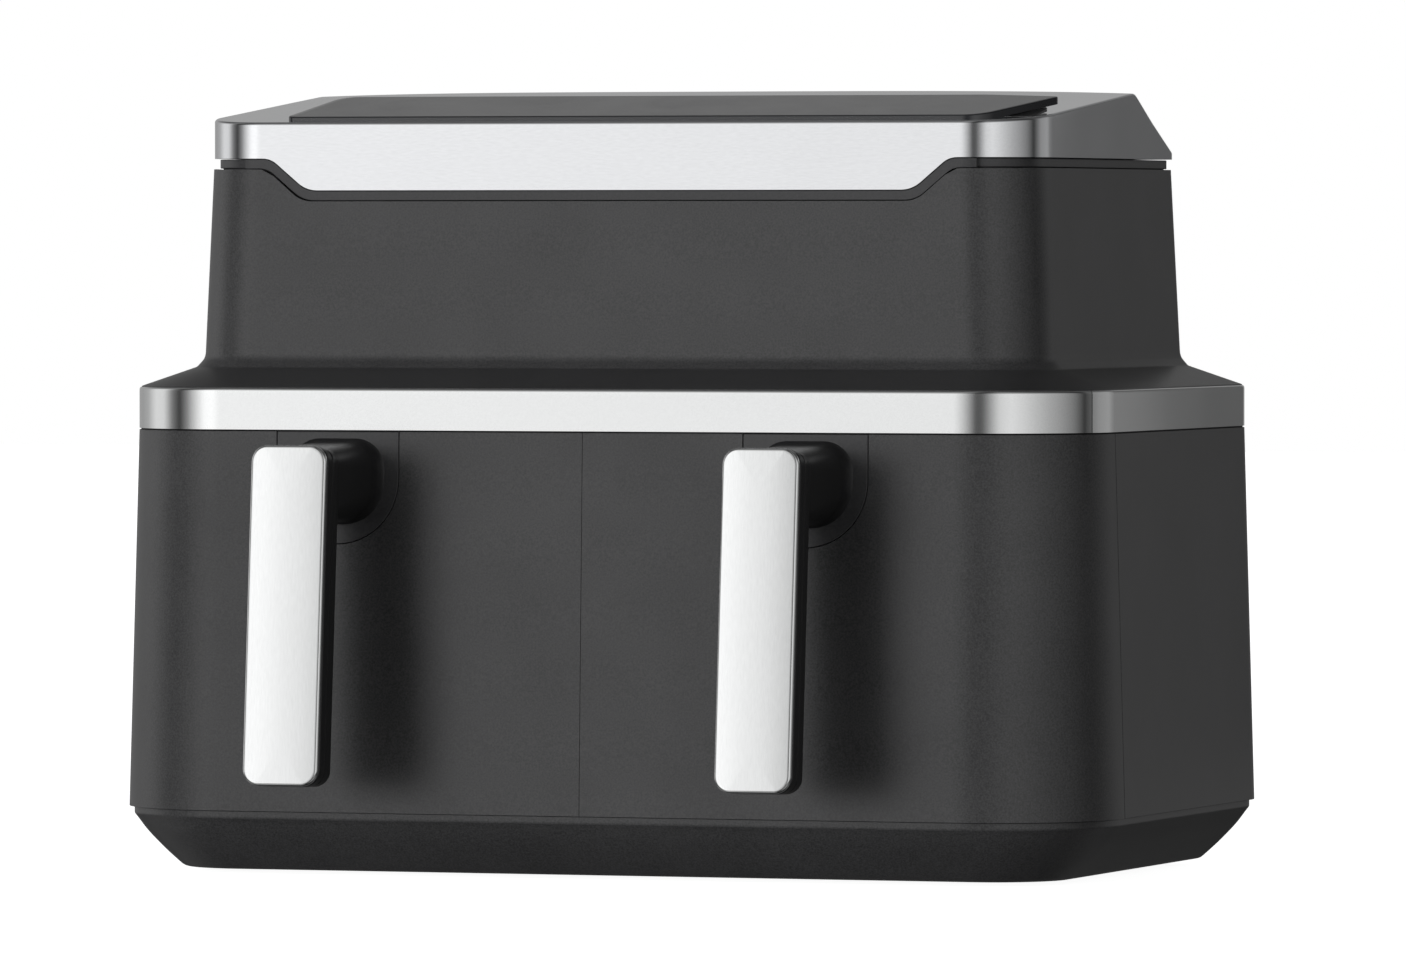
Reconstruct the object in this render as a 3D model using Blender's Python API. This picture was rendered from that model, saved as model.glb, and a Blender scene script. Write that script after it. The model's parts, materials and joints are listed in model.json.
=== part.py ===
"""Dual-drawer air fryer, modelled piece by piece in metres, +Z up.

Every piece is laid out in the body's own frame: x to the right, y to the back, z up from the
lower edge of the base tray, x = 0 and y = 0 in the middle of the body. One empty carries that
frame, so that the finished object stands on z = 0 with its box centred on the origin.
"""

from math import cos, pi, radians, sin, tan

import bmesh
import bpy
from mathutils import Matrix, Vector

# ---------------------------------------------------------------- driving dimensions

GAP = 0.0003                 # clearance kept between touching pieces
FOOT_HEIGHT = 0.0018

# plan of the body at the silver band: half width, front, back, corner radii
BODY = dict(half=0.2000, front=-0.1221, back=0.1190, r_front=0.0481, r_back=0.0220)
BASE_DRAFT = 0.0041          # the shell is this much wider at its lower edge
Z_SHELL = 0.0238             # lower edge of the shell
Z_BAND = 0.1725              # lower edge of the silver band
Z_BAND_TOP = 0.1890
BAND_SEAM = 69               # degrees round each front corner where the band's two pieces meet
WALL = 0.0026
SEAM_Y = -0.0720             # seam between the drawer fronts and the housing

# plan of the upper housing at its foot and at its top
UPPER_FOOT = dict(half=0.1752, front=-0.0974, back=0.1045, r_front=0.0275, r_back=0.0125)
UPPER_TOP = dict(half=0.1722, front=-0.0952, back=0.1010, r_front=0.0270, r_back=0.0120)
SHOULDER = dict(half=0.1778, front=-0.1000, back=0.1064, r_front=0.0295, r_back=0.0145)
Z_SHOULDER = 0.1969          # here the shoulder's slope turns up into the wall
Z_UPPER_FOOT = 0.1995
Z_UPPER_TOP = 0.2746

# top cap: plan, and its side profile
CAP = dict(half=0.1721, front=-0.0946, back=0.0960, r_front=0.0270, r_back=0.0040)
Z_CAP = 0.2787               # lower edge at the sides
Z_CAP_FRONT = 0.2928         # front top edge
RIDGE_Y = 0.0440
Z_RIDGE = 0.3062
CAP_WALL = 0.0020
DECK_SLOPE = (Z_RIDGE - Z_CAP_FRONT) / (RIDGE_Y - CAP["front"])
REAR_SLOPE = (Z_RIDGE - Z_CAP) / (CAP["back"] - RIDGE_Y)
SKIRT_LOW = 0.1250           # half widths of the cap's front drop, low and high
SKIRT_HIGH = 0.1400
Z_SKIRT = 0.2662
APRON = 0.0040               # height of the apron strip below the cap
APRON_HALF = 0.1510

# control panel: its top is a plane z = PANEL_Z + PANEL_TILT * (y - PANEL_Y)
PANEL_Y = -0.0880
PANEL_Z = 0.2950
PANEL_TILT = 0.20
GLASS = 0.0028

# drawers
POT = dict(half=0.0875, front=-0.1060, back=0.0950, r_front=0.0380, r_back=0.0380)
POT_X = 0.0985
Z_POT = 0.0310
Z_POT_RIM = 0.1400
Z_PLATE = 0.0440
PLATE = 0.0015               # thickness of the crisper plate
PLATE_INSET = 0.0110         # the crisper plate is this much smaller than the rim
DRAWER_WALL = 0.0030
HANDLE_X = {"left": -0.1012, "right": 0.0911}
HANDLE_Z = 0.1023            # middle of the grip
HANDLE_Y = -0.1807           # face of the grip at its middle
HANDLE_TILT = radians(4.63)
GRIP_HALF = 0.0155
GRIP_LENGTH = 0.1314
GRIP_RADIUS = 0.0065
TAB_HALF = 0.0255            # half width of the escutcheon
Z_TAB = 0.1284
SCREW_Z = 0.1530

# chambers, fans and motors
FAN_X = 0.0980
FAN_Y = 0.0150
CHAMBER = dict(near=0.0085, far=0.1905, front=-0.0688, back=0.1080, low=0.0265, top=0.1700)
LINER = 0.0012               # sheet of the chambers and of the heater guards
Z_HEATER = 0.1500
Z_GUARD = 0.1425
SHAFT_RADIUS = 0.0040
SWITCH_X = 0.0039
SWITCH_Z = 0.1120

GLAND_X = 0.1500
GLAND_Z = 0.0450
GLAND_BACK = 0.1262

VENT = dict(half=0.0700, low=0.2180, high=0.2500, slots=10, pitch=0.0140, margin=0.0040)
FOOT_RADIUS = 0.0090
FOOT_X = 0.1400
FOOT_Y = {"front": -0.0600, "rear": 0.0750}

HANDLE_REACH = HANDLE_Y - sin(HANDLE_TILT) * GRIP_LENGTH / 2   # foremost edge of the grips
CENTRE_Y = -(HANDLE_REACH + GLAND_BACK) / 2

SIDES = {"left": -1, "right": 1}

# ---------------------------------------------------------------- scene and materials


def clear_scene():
    """Remove whatever the file opened with."""
    for thing in list(bpy.data.objects):
        bpy.data.objects.remove(thing, do_unlink=True)


def new_collection(name):
    made = bpy.data.collections.new(name)
    bpy.context.scene.collection.children.link(made)
    return made


def material(name, colour, roughness, metallic=0.0):
    made = bpy.data.materials.new(name)
    made.use_nodes = True
    shader = made.node_tree.nodes["Principled BSDF"]
    shader.inputs["Base Color"].default_value = (*colour, 1.0)
    shader.inputs["Roughness"].default_value = roughness
    shader.inputs["Metallic"].default_value = metallic
    made.diffuse_color = (*colour, 1.0)
    return made


clear_scene()
PARTS = new_collection("air_fryer")
CUTTERS = new_collection("cutters")

SHELL = material("charcoal_shell", (0.060, 0.060, 0.062), 0.55)
BLACK = material("black_plastic", (0.014, 0.014, 0.015), 0.45)
SILVER = material("satin_silver", (0.72, 0.73, 0.75), 0.25, 1.0)
PANEL = material("panel_glass", (0.035, 0.036, 0.038), 0.12)
STEEL = material("chamber_steel", (0.55, 0.56, 0.57), 0.35, 1.0)
COATED = material("nonstick_coat", (0.020, 0.020, 0.021), 0.40)
MOTOR = material("motor_steel", (0.40, 0.40, 0.41), 0.40, 1.0)
BOARD = material("board_green", (0.015, 0.110, 0.050), 0.50)
RUBBER = material("silicone", (0.030, 0.030, 0.030), 0.80)


def empty(name, location, parent=None):
    """An empty that marks the body's frame or a moving piece's joint."""
    made = bpy.data.objects.new(name, None)
    made.location = location
    made.parent = parent
    PARTS.objects.link(made)
    return made


FRAME = empty("body_frame", (0.0, CENTRE_Y, FOOT_HEIGHT))


def add(name, bm, finish=None, parent=FRAME):
    """A mesh object from bm; without a finish it is a cutter, drawn as wire and left out."""
    bmesh.ops.recalc_face_normals(bm, faces=bm.faces)
    mesh = bpy.data.meshes.new(name)
    bm.to_mesh(mesh)
    bm.free()
    made = bpy.data.objects.new(name, mesh)
    made.parent = parent
    if parent is not FRAME:
        mesh.transform(Matrix.Translation(-parent.location))
    if finish is None:
        CUTTERS.objects.link(made)
        made.hide_render = True
        made.display_type = "WIRE"
    else:
        PARTS.objects.link(made)
        mesh.materials.append(finish)
        mesh.shade_smooth()
        mesh.set_sharp_from_angle(angle=radians(30))
    return made


def boolean(target, tool, operation="DIFFERENCE"):
    """Live Boolean of target with a cutter object."""
    step = target.modifiers.new(tool.name, "BOOLEAN")
    step.object = tool
    step.operation = operation
    return target


# ---------------------------------------------------------------- outlines and solids


def rounded(corners, steps=6):
    """Closed outline of straight sides, with an arc at each corner (x, y, radius)."""
    points = []
    for i, (x, y, radius) in enumerate(corners):
        here = Vector((x, y))
        if radius == 0.0:
            points.append(here)
            continue
        before = (Vector(corners[i - 1][:2]) - here).normalized()
        after = (Vector(corners[(i + 1) % len(corners)][:2]) - here).normalized()
        half = before.angle(after) / 2
        centre = here + (before + after).normalized() * radius / sin(half)
        spoke = here + before * radius / tan(half) - centre
        turn = (pi - 2 * half) * (1 if before.x * after.y - before.y * after.x < 0 else -1)
        for k in range(steps + 1):
            angle = turn * k / steps
            points.append(centre + Matrix.Rotation(angle, 2) @ spoke)
    return points


def plan(half, front, back, r_front, r_back, offset=0.0, x=0.0, steps=7):
    """Rounded rectangle seen from above, grown outwards by offset; corners keep a small radius."""
    w = half + offset
    f = front - offset
    b = back + offset
    rf = max(r_front + offset, 0.0005)
    rb = max(r_back + offset, 0.0005)
    return rounded([(x - w, f, rf), (x + w, f, rf), (x + w, b, rb), (x - w, b, rb)], steps)


def level(outline, z):
    """An outline laid at a height, or at a height that depends on (x, y)."""
    return [Vector((p.x, p.y, z(p.x, p.y) if callable(z) else z)) for p in outline]


def loft(name, sections, finish=None, ring=False, parent=FRAME):
    """Skin sections of equal count; a ring closes on its first section, otherwise ends are capped."""
    bm = bmesh.new()
    rows = [[bm.verts.new(p) for p in section] for section in sections]
    pairs = list(zip(rows, rows[1:]))
    if ring:
        pairs.append((rows[-1], rows[0]))
    else:
        bm.faces.new(rows[0])
        bm.faces.new(rows[-1])
    count = len(rows[0])
    for low, high in pairs:
        for i in range(count):
            j = (i + 1) % count
            bm.faces.new((low[i], low[j], high[j], high[i]))
    return add(name, bm, finish, parent)


def prism(name, outline, axis, low, high, finish=None, parent=FRAME):
    """An outline extruded along an axis; the outline's plane is the other two axes, in order."""
    places = {"x": lambda p, t: Vector((t, p.x, p.y)),
              "y": lambda p, t: Vector((p.x, t, p.y)),
              "z": lambda p, t: Vector((p.x, p.y, t))}
    place = places[axis]
    return loft(name, [[place(p, t) for p in outline] for t in (low, high)], finish,
                parent=parent)


def cuboid(bm, low, high, turn=None):
    """Add a box between two corners to bm, turned about its own middle if asked."""
    low = Vector(low)
    high = Vector(high)
    size = high - low
    matrix = Matrix.Translation((low + high) / 2)
    if turn is not None:
        matrix = matrix @ turn
    matrix = matrix @ Matrix.Diagonal((*size, 1.0))
    bmesh.ops.create_cube(bm, size=1.0, matrix=matrix)


def box(name, low, high, finish=None, parent=FRAME, bevel=0.0):
    bm = bmesh.new()
    cuboid(bm, low, high)
    if bevel:
        bmesh.ops.bevel(bm, geom=bm.edges, offset=bevel, segments=2, affect="EDGES")
    return add(name, bm, finish, parent)


def boxes(name, corners):
    """A cutter made of several separate boxes."""
    bm = bmesh.new()
    for low, high in corners:
        cuboid(bm, low, high)
    return add(name, bm)


AXIS_TURN = {"x": Matrix.Rotation(pi / 2, 4, "Y"),
             "y": Matrix.Rotation(pi / 2, 4, "X"),
             "z": Matrix.Identity(4)}


def rod(name, radius, low, high, axis="z", finish=None, parent=FRAME, sides=16):
    """A cylinder between two points that differ along one axis."""
    low = Vector(low)
    high = Vector(high)
    bm = bmesh.new()
    bmesh.ops.create_cone(bm, cap_ends=True, segments=sides, radius1=radius, radius2=radius,
                          depth=(high - low).length,
                          matrix=Matrix.Translation((low + high) / 2) @ AXIS_TURN[axis])
    return add(name, bm, finish, parent)


def turned(name, profile, centre, finish=None, parent=FRAME, sides=24):
    """A solid of revolution about z: (radius, z) pairs from top to bottom, ends closed."""
    sections = []
    for radius, z in profile:
        sections.append([Vector((centre[0] + radius * cos(2 * pi * k / sides),
                                 centre[1] + radius * sin(2 * pi * k / sides), z))
                         for k in range(sides)])
    return loft(name, sections, finish, parent=parent)


# ---------------------------------------------------------------- shared shapes


def body_wall(name, low, high, thickness, finish=None, parent=FRAME):
    """A ring of the drafted body wall between two heights."""
    def offset(z):
        return BASE_DRAFT * (Z_BAND - z) / (Z_BAND - Z_SHELL)

    heights = [low, high]
    outer = [level(plan(**BODY, offset=offset(z)), z) for z in heights]
    inner = [level(plan(**BODY, offset=offset(z) - thickness), z) for z in reversed(heights)]
    return loft(name, outer + inner, finish, ring=True, parent=parent)


def skirt_line(gap):
    """The front drop's lower line, moved down and outwards by gap, from left to right."""
    slant = (Z_CAP - Z_SKIRT) / (SKIRT_HIGH - SKIRT_LOW)
    shift = gap * ((1 + slant * slant) ** 0.5 - 1) / slant
    low = SKIRT_LOW + shift
    high = SKIRT_HIGH + shift
    return [(-high, Z_CAP - gap, 0.006), (-low, Z_SKIRT - gap, 0.006),
            (low, Z_SKIRT - gap, 0.006), (high, Z_CAP - gap, 0.006)]


def tab_outline(x, grow):
    """The escutcheon's U, seen from the front; its top runs past the drawer's edge."""
    half = TAB_HALF + grow
    low = Z_TAB - grow
    top = Z_BAND + 0.004
    return rounded([(x - half, top, 0.0), (x - half, low, half - 0.0002),
                    (x + half, low, half - 0.0002), (x + half, top, 0.0)], steps=10)


def deck_z(y):
    return Z_CAP_FRONT + DECK_SLOPE * (y - CAP["front"])


def panel_z(y):
    return PANEL_Z + PANEL_TILT * (y - PANEL_Y)


# ---------------------------------------------------------------- casing


def make_base():
    """Chamfered tray: outer wall up, rim, inner wall down to the floor."""
    outer = [(-0.0175, 0.0), (-0.0117, 0.0062), (-0.0038, 0.0141), (0.0011, 0.0200),
             (0.0021, 0.0209), (0.0021, Z_SHELL - GAP)]
    inner = [(-0.0006, Z_SHELL - GAP), (-0.0020, 0.0205), (-0.0070, 0.0150),
             (-0.0150, 0.0068), (-0.0195, 0.0025)]
    loft("base_tray", [level(plan(**BODY, offset=o), z) for o, z in outer + inner], SHELL)
    for side, sign in SIDES.items():
        for end, y in FOOT_Y.items():
            rod(f"foot_{end}_{side}", FOOT_RADIUS, (sign * FOOT_X, y, -FOOT_HEIGHT),
                (sign * FOOT_X, y, -GAP), finish=RUBBER, sides=20)


def make_lower_housing():
    """Sides and back in one U, with the opening for the cord gland."""
    housing = body_wall("lower_housing", Z_SHELL + GAP, Z_BAND - GAP, WALL, SHELL)
    boolean(housing, box("housing_mouth", (-0.25, -0.20, 0.0), (0.25, SEAM_Y, 0.2)))
    boolean(housing, rod("gland_hole", 0.0073, (GLAND_X, 0.11, GLAND_Z), (GLAND_X, 0.13, GLAND_Z),
                         "y"))
    gland = [rod("cord_gland", 0.0110, (GLAND_X, 0.1231, GLAND_Z),
                 (GLAND_X, GLAND_BACK, GLAND_Z), "y", BLACK),
             rod("gland_stem", 0.0068, (GLAND_X, 0.1130, GLAND_Z), (GLAND_X, 0.1240, GLAND_Z), "y"),
             rod("gland_bore", 0.0040, (GLAND_X, 0.1100, GLAND_Z), (GLAND_X, 0.1300, GLAND_Z), "y")]
    boolean(gland[0], gland[1], "UNION")
    boolean(gland[0], gland[2])


def make_band():
    """Silver band in two pieces, which meet on the front corners."""
    corner = BODY["r_front"]
    angle = radians(BAND_SEAM)
    seam = BODY["front"] + corner * (1 - cos(angle))
    for name, low, high in (("band_front", seam, 0.2), ("band_rear", -0.2, seam)):
        outer = [(0.0, Z_BAND + GAP), (0.0, Z_BAND_TOP - 0.0010), (-0.0010, Z_BAND_TOP)]
        inner = [(-0.0021, Z_BAND_TOP), (-0.0021, Z_BAND + GAP)]
        ring = [level(plan(**BODY, offset=o, steps=10), z) for o, z in outer + inner]
        piece = loft(name, ring, SILVER, ring=True)
        boolean(piece, box(name + "_trim", (-0.25, low - GAP / 2, 0.1), (0.25, high + GAP / 2, 0.2)))


def make_mid_frame():
    """Tray inside the band: it carries the motors and has a hole under each."""
    outer = [(-0.0024, Z_BAND + GAP), (-0.0024, Z_BAND_TOP - GAP)]
    inner = [(-0.0050, Z_BAND_TOP - GAP), (-0.0050, Z_BAND + 0.0030)]
    frame = loft("mid_frame", [level(plan(**BODY, offset=o), z) for o, z in outer + inner], BLACK)
    for side, sign in SIDES.items():
        boolean(frame, rod(f"frame_hole_{side}", 0.0120, (sign * FAN_X, FAN_Y, 0.16),
                           (sign * FAN_X, FAN_Y, 0.19)))


def make_upper_housing():
    """Sloped shoulder and upright walls, open above and below."""
    shoulder = plan(**BODY, offset=-0.0006)
    outer = [level(shoulder, Z_BAND_TOP + GAP), level(plan(**SHOULDER), Z_SHOULDER),
             level(plan(**UPPER_FOOT), Z_UPPER_FOOT), level(plan(**UPPER_TOP), Z_UPPER_TOP)]
    inner = [level(plan(**UPPER_TOP, offset=-WALL), Z_UPPER_TOP),
             level(plan(**UPPER_FOOT, offset=-WALL), 0.1975),
             level(plan(**BODY, offset=-0.0046), Z_BAND_TOP + GAP)]
    housing = loft("upper_housing", outer + inner, SHELL, ring=True)
    notch = skirt_line(APRON + GAP)
    top = 0.30
    left = (-APRON_HALF - 2 * GAP, notch[0][1], 0.0)
    right = (APRON_HALF + 2 * GAP, notch[0][1], 0.0)
    outline = rounded([left, *notch, right, (right[0], top, 0.0), (left[0], top, 0.0)], steps=4)
    boolean(housing, prism("apron_notch", outline, "y", -0.13, -0.080))
    half, low, high = VENT["half"], VENT["low"], VENT["high"]
    boolean(housing, box("vent_hole", (-half, 0.090, low), (half, 0.120, high)))
    grille = box("rear_vent_grille", (-half + GAP, 0.0995, low + GAP),
                 (half - GAP, 0.1015, high - GAP), BLACK)
    slots = []
    for k in range(VENT["slots"]):
        x = (k - (VENT["slots"] - 1) / 2) * VENT["pitch"]
        slots.append(((x - 0.0045, 0.09, low + VENT["margin"]),
                      (x + 0.0045, 0.11, high - VENT["margin"])))
    boolean(grille, boxes("grille_slots", slots))


def make_reveal_ring():
    """Recessed ring that leaves a shadow line between the housing and the cap."""
    heights = (Z_UPPER_TOP + GAP, Z_CAP - GAP)
    outer = [level(plan(**CAP, offset=-0.0022), z) for z in heights]
    inner = [level(plan(**CAP, offset=-0.0042), z) for z in reversed(heights)]
    loft("reveal_ring", outer + inner, BLACK, ring=True)


def make_apron():
    """Strip under the cap's front drop, flush with the front and cut to the plan's corners."""
    high = skirt_line(GAP)
    low = skirt_line(APRON)
    upper = [(-APRON_HALF, high[0][1], 0.0), *high, (APRON_HALF, high[0][1], 0.0)]
    lower = [(APRON_HALF, low[0][1], 0.0), *reversed(low), (-APRON_HALF, low[0][1], 0.0)]
    strip = prism("apron_trim", rounded(upper + lower, steps=4), "y", -0.12, -0.0927, BLACK)
    boolean(strip, prism("apron_plan", plan(**CAP, offset=-0.0002), "z", 0.25, 0.29), "INTERSECT")


# ---------------------------------------------------------------- cap and control panel


def cap_solid(name, inset, z_low, finish=None):
    """The cap's side profile, moved inwards by inset, carried across and trimmed to its plan."""
    front = CAP["front"]
    deck_drop = inset * (1 + DECK_SLOPE ** 2) ** 0.5
    rear_drop = inset * (1 + REAR_SLOPE ** 2) ** 0.5
    ridge_y = RIDGE_Y + (deck_drop - rear_drop) / (DECK_SLOPE + REAR_SLOPE)
    ridge_z = deck_z(ridge_y) - deck_drop
    before = front - 0.01
    back_y = ridge_y + (ridge_z - z_low) / REAR_SLOPE
    profile = [Vector(p) for p in ((before, z_low), (before, deck_z(before) - deck_drop),
                                   (ridge_y, ridge_z), (back_y, z_low))]
    solid = prism(name, profile, "x", -0.2, 0.2, finish)
    trim = prism(name + "_plan", plan(**CAP, offset=-inset, steps=10), "z", 0.22, 0.34)
    return boolean(solid, trim, "INTERSECT")


PLINTH = [(-0.1372, -0.0905, 0.002), (0.1680, -0.0905, 0.023), (0.1680, -0.0560, 0.003),
          (0.1340, -0.0500, 0.020), (-0.1230, -0.0500, 0.006), (-0.1372, -0.0720, 0.004)]
PANE = [(-0.1365, -0.0880, 0.003), (0.1503, -0.0880, 0.013), (0.1715, -0.0505, 0.002),
        (0.1400, -0.0460, 0.050), (-0.1280, -0.0460, 0.009)]


def grown(corners, by):
    """Corners of an outline moved outwards from its middle by about the given amount."""
    xs = [c[0] for c in corners]
    ys = [c[1] for c in corners]
    mid_x = (min(xs) + max(xs)) / 2
    mid_y = (min(ys) + max(ys)) / 2
    return [(x + (by if x > mid_x else -by), y + (by if y > mid_y else -by), r + by)
            for x, y, r in corners]


def make_cap():
    cap = cap_solid("top_cap", 0.0, 0.2600, SILVER)
    boolean(cap, cap_solid("cap_hollow", CAP_WALL, 0.2500))
    line = skirt_line(0.0)
    wide = 0.25
    outline = rounded([(-wide, Z_CAP, 0.0), *line, (wide, Z_CAP, 0.0),
                       (wide, 0.24, 0.0), (-wide, 0.24, 0.0)], steps=5)
    boolean(cap, prism("skirt_cut", outline, "y", -0.15, 0.15))
    boolean(cap, box("skirt_back", (-0.25, CAP["front"] + CAP_WALL, 0.24), (0.25, 0.15, Z_CAP)))
    boolean(cap, prism("panel_well", rounded(grown(PLINTH, GAP), 5), "z", 0.27, 0.32))


def make_panel():
    """Wedge plinth through the deck, glass plate on it, boards below."""
    loft("control_plinth",
         [level(rounded(PLINTH, 5), 0.2895),
          level(rounded(PLINTH, 5), lambda x, y: panel_z(y) - GLASS - GAP)], BLACK)
    loft("control_glass",
         [level(rounded(PANE, 5), lambda x, y: panel_z(y) - GLASS),
          level(rounded(PANE, 5), lambda x, y: panel_z(y))], PANEL)
    box("control_board", (-0.110, -0.084, 0.2830), (0.120, -0.040, 0.2846), BOARD)
    power = box("power_board", (-0.050, 0.040, 0.1990), (0.050, 0.092, 0.2006), BOARD)
    lumps = boxes("board_parts", [((-0.040, 0.050, 0.2000), (-0.018, 0.068, 0.2160)),
                                  ((-0.008, 0.050, 0.2000), (0.012, 0.080, 0.2200)),
                                  ((0.022, 0.055, 0.2000), (0.040, 0.085, 0.2120))])
    boolean(power, lumps, "UNION")


# ---------------------------------------------------------------- bays, heat and air


def make_bay_frame():
    """Upright plate behind the drawer fronts, with the drawers' mouths."""
    low = 0.2005
    high = 0.1968
    corners = [(-low, Z_SHELL + GAP, 0.0), (low, Z_SHELL + GAP, 0.0),
               (high, Z_BAND - GAP, 0.0), (-high, Z_BAND - GAP, 0.0)]
    frame = prism("bay_frame", rounded(corners), "y", SEAM_Y + GAP, SEAM_Y + 0.0028, BLACK)
    for side, sign in SIDES.items():
        mouth = rounded([(0.0093, 0.0275, 0.010), (0.1880, 0.0275, 0.010),
                         (0.1880, 0.1440, 0.006), (0.0093, 0.1440, 0.006)], 4)
        mouth = [Vector((sign * p.x, p.y)) for p in mouth]
        boolean(frame, prism(f"mouth_{side}", mouth, "y", -0.09, -0.05))
        boolean(frame, rod(f"plunger_hole_{side}", 0.0019, (sign * SWITCH_X, -0.09, SWITCH_Z),
                           (sign * SWITCH_X, -0.05, SWITCH_Z), "y", sides=12))


def make_switch(side, sign):
    """Door switch between the chambers; its plunger stands through the bay frame."""
    low_x, high_x = sorted((sign * 0.0008, sign * 0.0070))
    switch = box(f"door_switch_{side}", (low_x, -0.0687, SWITCH_Z - 0.008),
                 (high_x, -0.0540, SWITCH_Z + 0.008), BLACK)
    x = sign * SWITCH_X
    boolean(switch, rod(f"switch_bore_{side}", 0.0019, (x, -0.0720, SWITCH_Z),
                        (x, -0.0640, SWITCH_Z), "y", sides=12))
    joint = empty(f"plunger_axis_{side}", (x, -0.0700, SWITCH_Z), FRAME)
    rod(f"switch_plunger_{side}", 0.0014, (x, -0.0738, SWITCH_Z), (x, -0.0665, SWITCH_Z), "y",
        RUBBER, joint, 12)


def make_chamber(side, sign):
    """Steel liner, open at the front, with a shaft hole above and an air outlet behind."""
    lo, hi = sorted((sign * CHAMBER["near"], sign * CHAMBER["far"]))
    low, top, back = CHAMBER["low"], CHAMBER["top"], CHAMBER["back"]
    liner = box(f"chamber_{side}", (lo, CHAMBER["front"], low), (hi, back, top), STEEL)
    boolean(liner, box(f"liner_void_{side}", (lo + LINER, CHAMBER["front"] - 0.02, low + LINER),
                       (hi - LINER, back - LINER, top - LINER)))
    x = sign * FAN_X
    boolean(liner, rod(f"liner_shaft_hole_{side}", 0.0080, (x, FAN_Y, 0.16), (x, FAN_Y, 0.18)))
    boolean(liner, box(f"liner_outlet_{side}", (x - 0.030, 0.10, 0.148), (x + 0.030, 0.12, 0.160)))


def make_heater(side, sign):
    """Two turns of sheathed element, as a tube along a flat spiral."""
    turns = 1.9
    count = 38
    curve = bpy.data.curves.new(f"heater_{side}", "CURVE")
    curve.dimensions = "3D"
    curve.bevel_depth = 0.0030
    curve.bevel_resolution = 1
    curve.use_fill_caps = True
    spline = curve.splines.new("POLY")
    spline.points.add(count - 1)
    for k in range(count):
        share = k / (count - 1)
        angle = sign * 2 * pi * turns * share
        radius = 0.0480 + 0.0240 * share
        x = sign * FAN_X + radius * cos(angle)
        y = FAN_Y + radius * sin(angle)
        spline.points[k].co = (x, y, Z_HEATER, 1.0)
    coil = bpy.data.objects.new(f"heater_{side}", curve)
    PARTS.objects.link(coil)
    coil.parent = FRAME
    curve.materials.append(STEEL)


def make_guard(side, sign):
    """Slotted plate under the heater."""
    mid = sign * FAN_X
    guard = box(f"heater_guard_{side}", (mid - 0.0860, -0.0620, Z_GUARD),
                (mid + 0.0860, 0.1030, Z_GUARD + LINER), STEEL)
    slots = []
    for row in range(5):
        for column in range(3):
            x = mid + (column - 1) * 0.0520
            y = -0.0435 + row * 0.0320
            slots.append(((x - 0.0210, y - 0.0090, 0.13), (x + 0.0210, y + 0.0090, 0.15)))
    boolean(guard, boxes(f"guard_slots_{side}", slots))


def blades(name, count, inner, outer, low, high, pitch, centre):
    """Separate flat blades round an axis, each turned by its pitch about its own length."""
    bm = bmesh.new()
    for k in range(count):
        arm = bmesh.new()
        cuboid(arm, (inner, -0.0008, low), (outer, 0.0008, high), Matrix.Rotation(pitch, 4, "X"))
        arm.transform(Matrix.Translation((centre[0], centre[1], 0.0))
                      @ Matrix.Rotation(2 * pi * k / count, 4, "Z"))
        piece = bpy.data.meshes.new(name)
        arm.to_mesh(piece)
        arm.free()
        bm.from_mesh(piece)
        bpy.data.meshes.remove(piece)
    return add(name, bm)


def make_rotor(side, sign):
    """Motor on the mid frame; its shaft carries the hot-air fan below and the cooling fan above."""
    centre = (sign * FAN_X, FAN_Y)
    x, y = centre
    motor = turned(f"fan_motor_{side}", [(0.0200, 0.2080), (0.0260, 0.2040), (0.0260, 0.1800),
                                         (0.0300, 0.1790), (0.0300, Z_BAND + 0.0033)],
                   centre, MOTOR)
    boolean(motor, rod(f"motor_bore_{side}", 0.0047, (x, y, 0.16), (x, y, 0.22)))
    joint = empty(f"rotor_axis_{side}", (x, y, 0.1900), FRAME)
    rod(f"rotor_shaft_{side}", SHAFT_RADIUS, (x, y, 0.1545), (x, y, 0.2270), "z", STEEL, joint, 12)
    fan = turned(f"air_fan_{side}", [(0.0550, 0.1652), (0.0550, 0.1640), (0.0100, 0.1638),
                                     (0.0100, 0.1560)], centre, STEEL, joint)
    boolean(fan, blades(f"air_blades_{side}", 8, 0.0090, 0.0530, 0.1560, 0.1645, 0.0, centre),
            "UNION")
    boolean(fan, rod(f"air_bore_{side}", 0.0044, (x, y, 0.15), (x, y, 0.17), sides=12))
    cooler = turned(f"cooling_fan_{side}", [(0.0100, 0.2230), (0.0120, 0.2220), (0.0120, 0.2120)],
                    centre, BLACK, joint)
    boolean(cooler, blades(f"cooling_blades_{side}", 7, 0.0105, 0.0360, 0.2120, 0.2220,
                           radians(35), centre), "UNION")
    boolean(cooler, rod(f"cooling_bore_{side}", 0.0044, (x, y, 0.20), (x, y, 0.23), sides=12))


# ---------------------------------------------------------------- drawers


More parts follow.
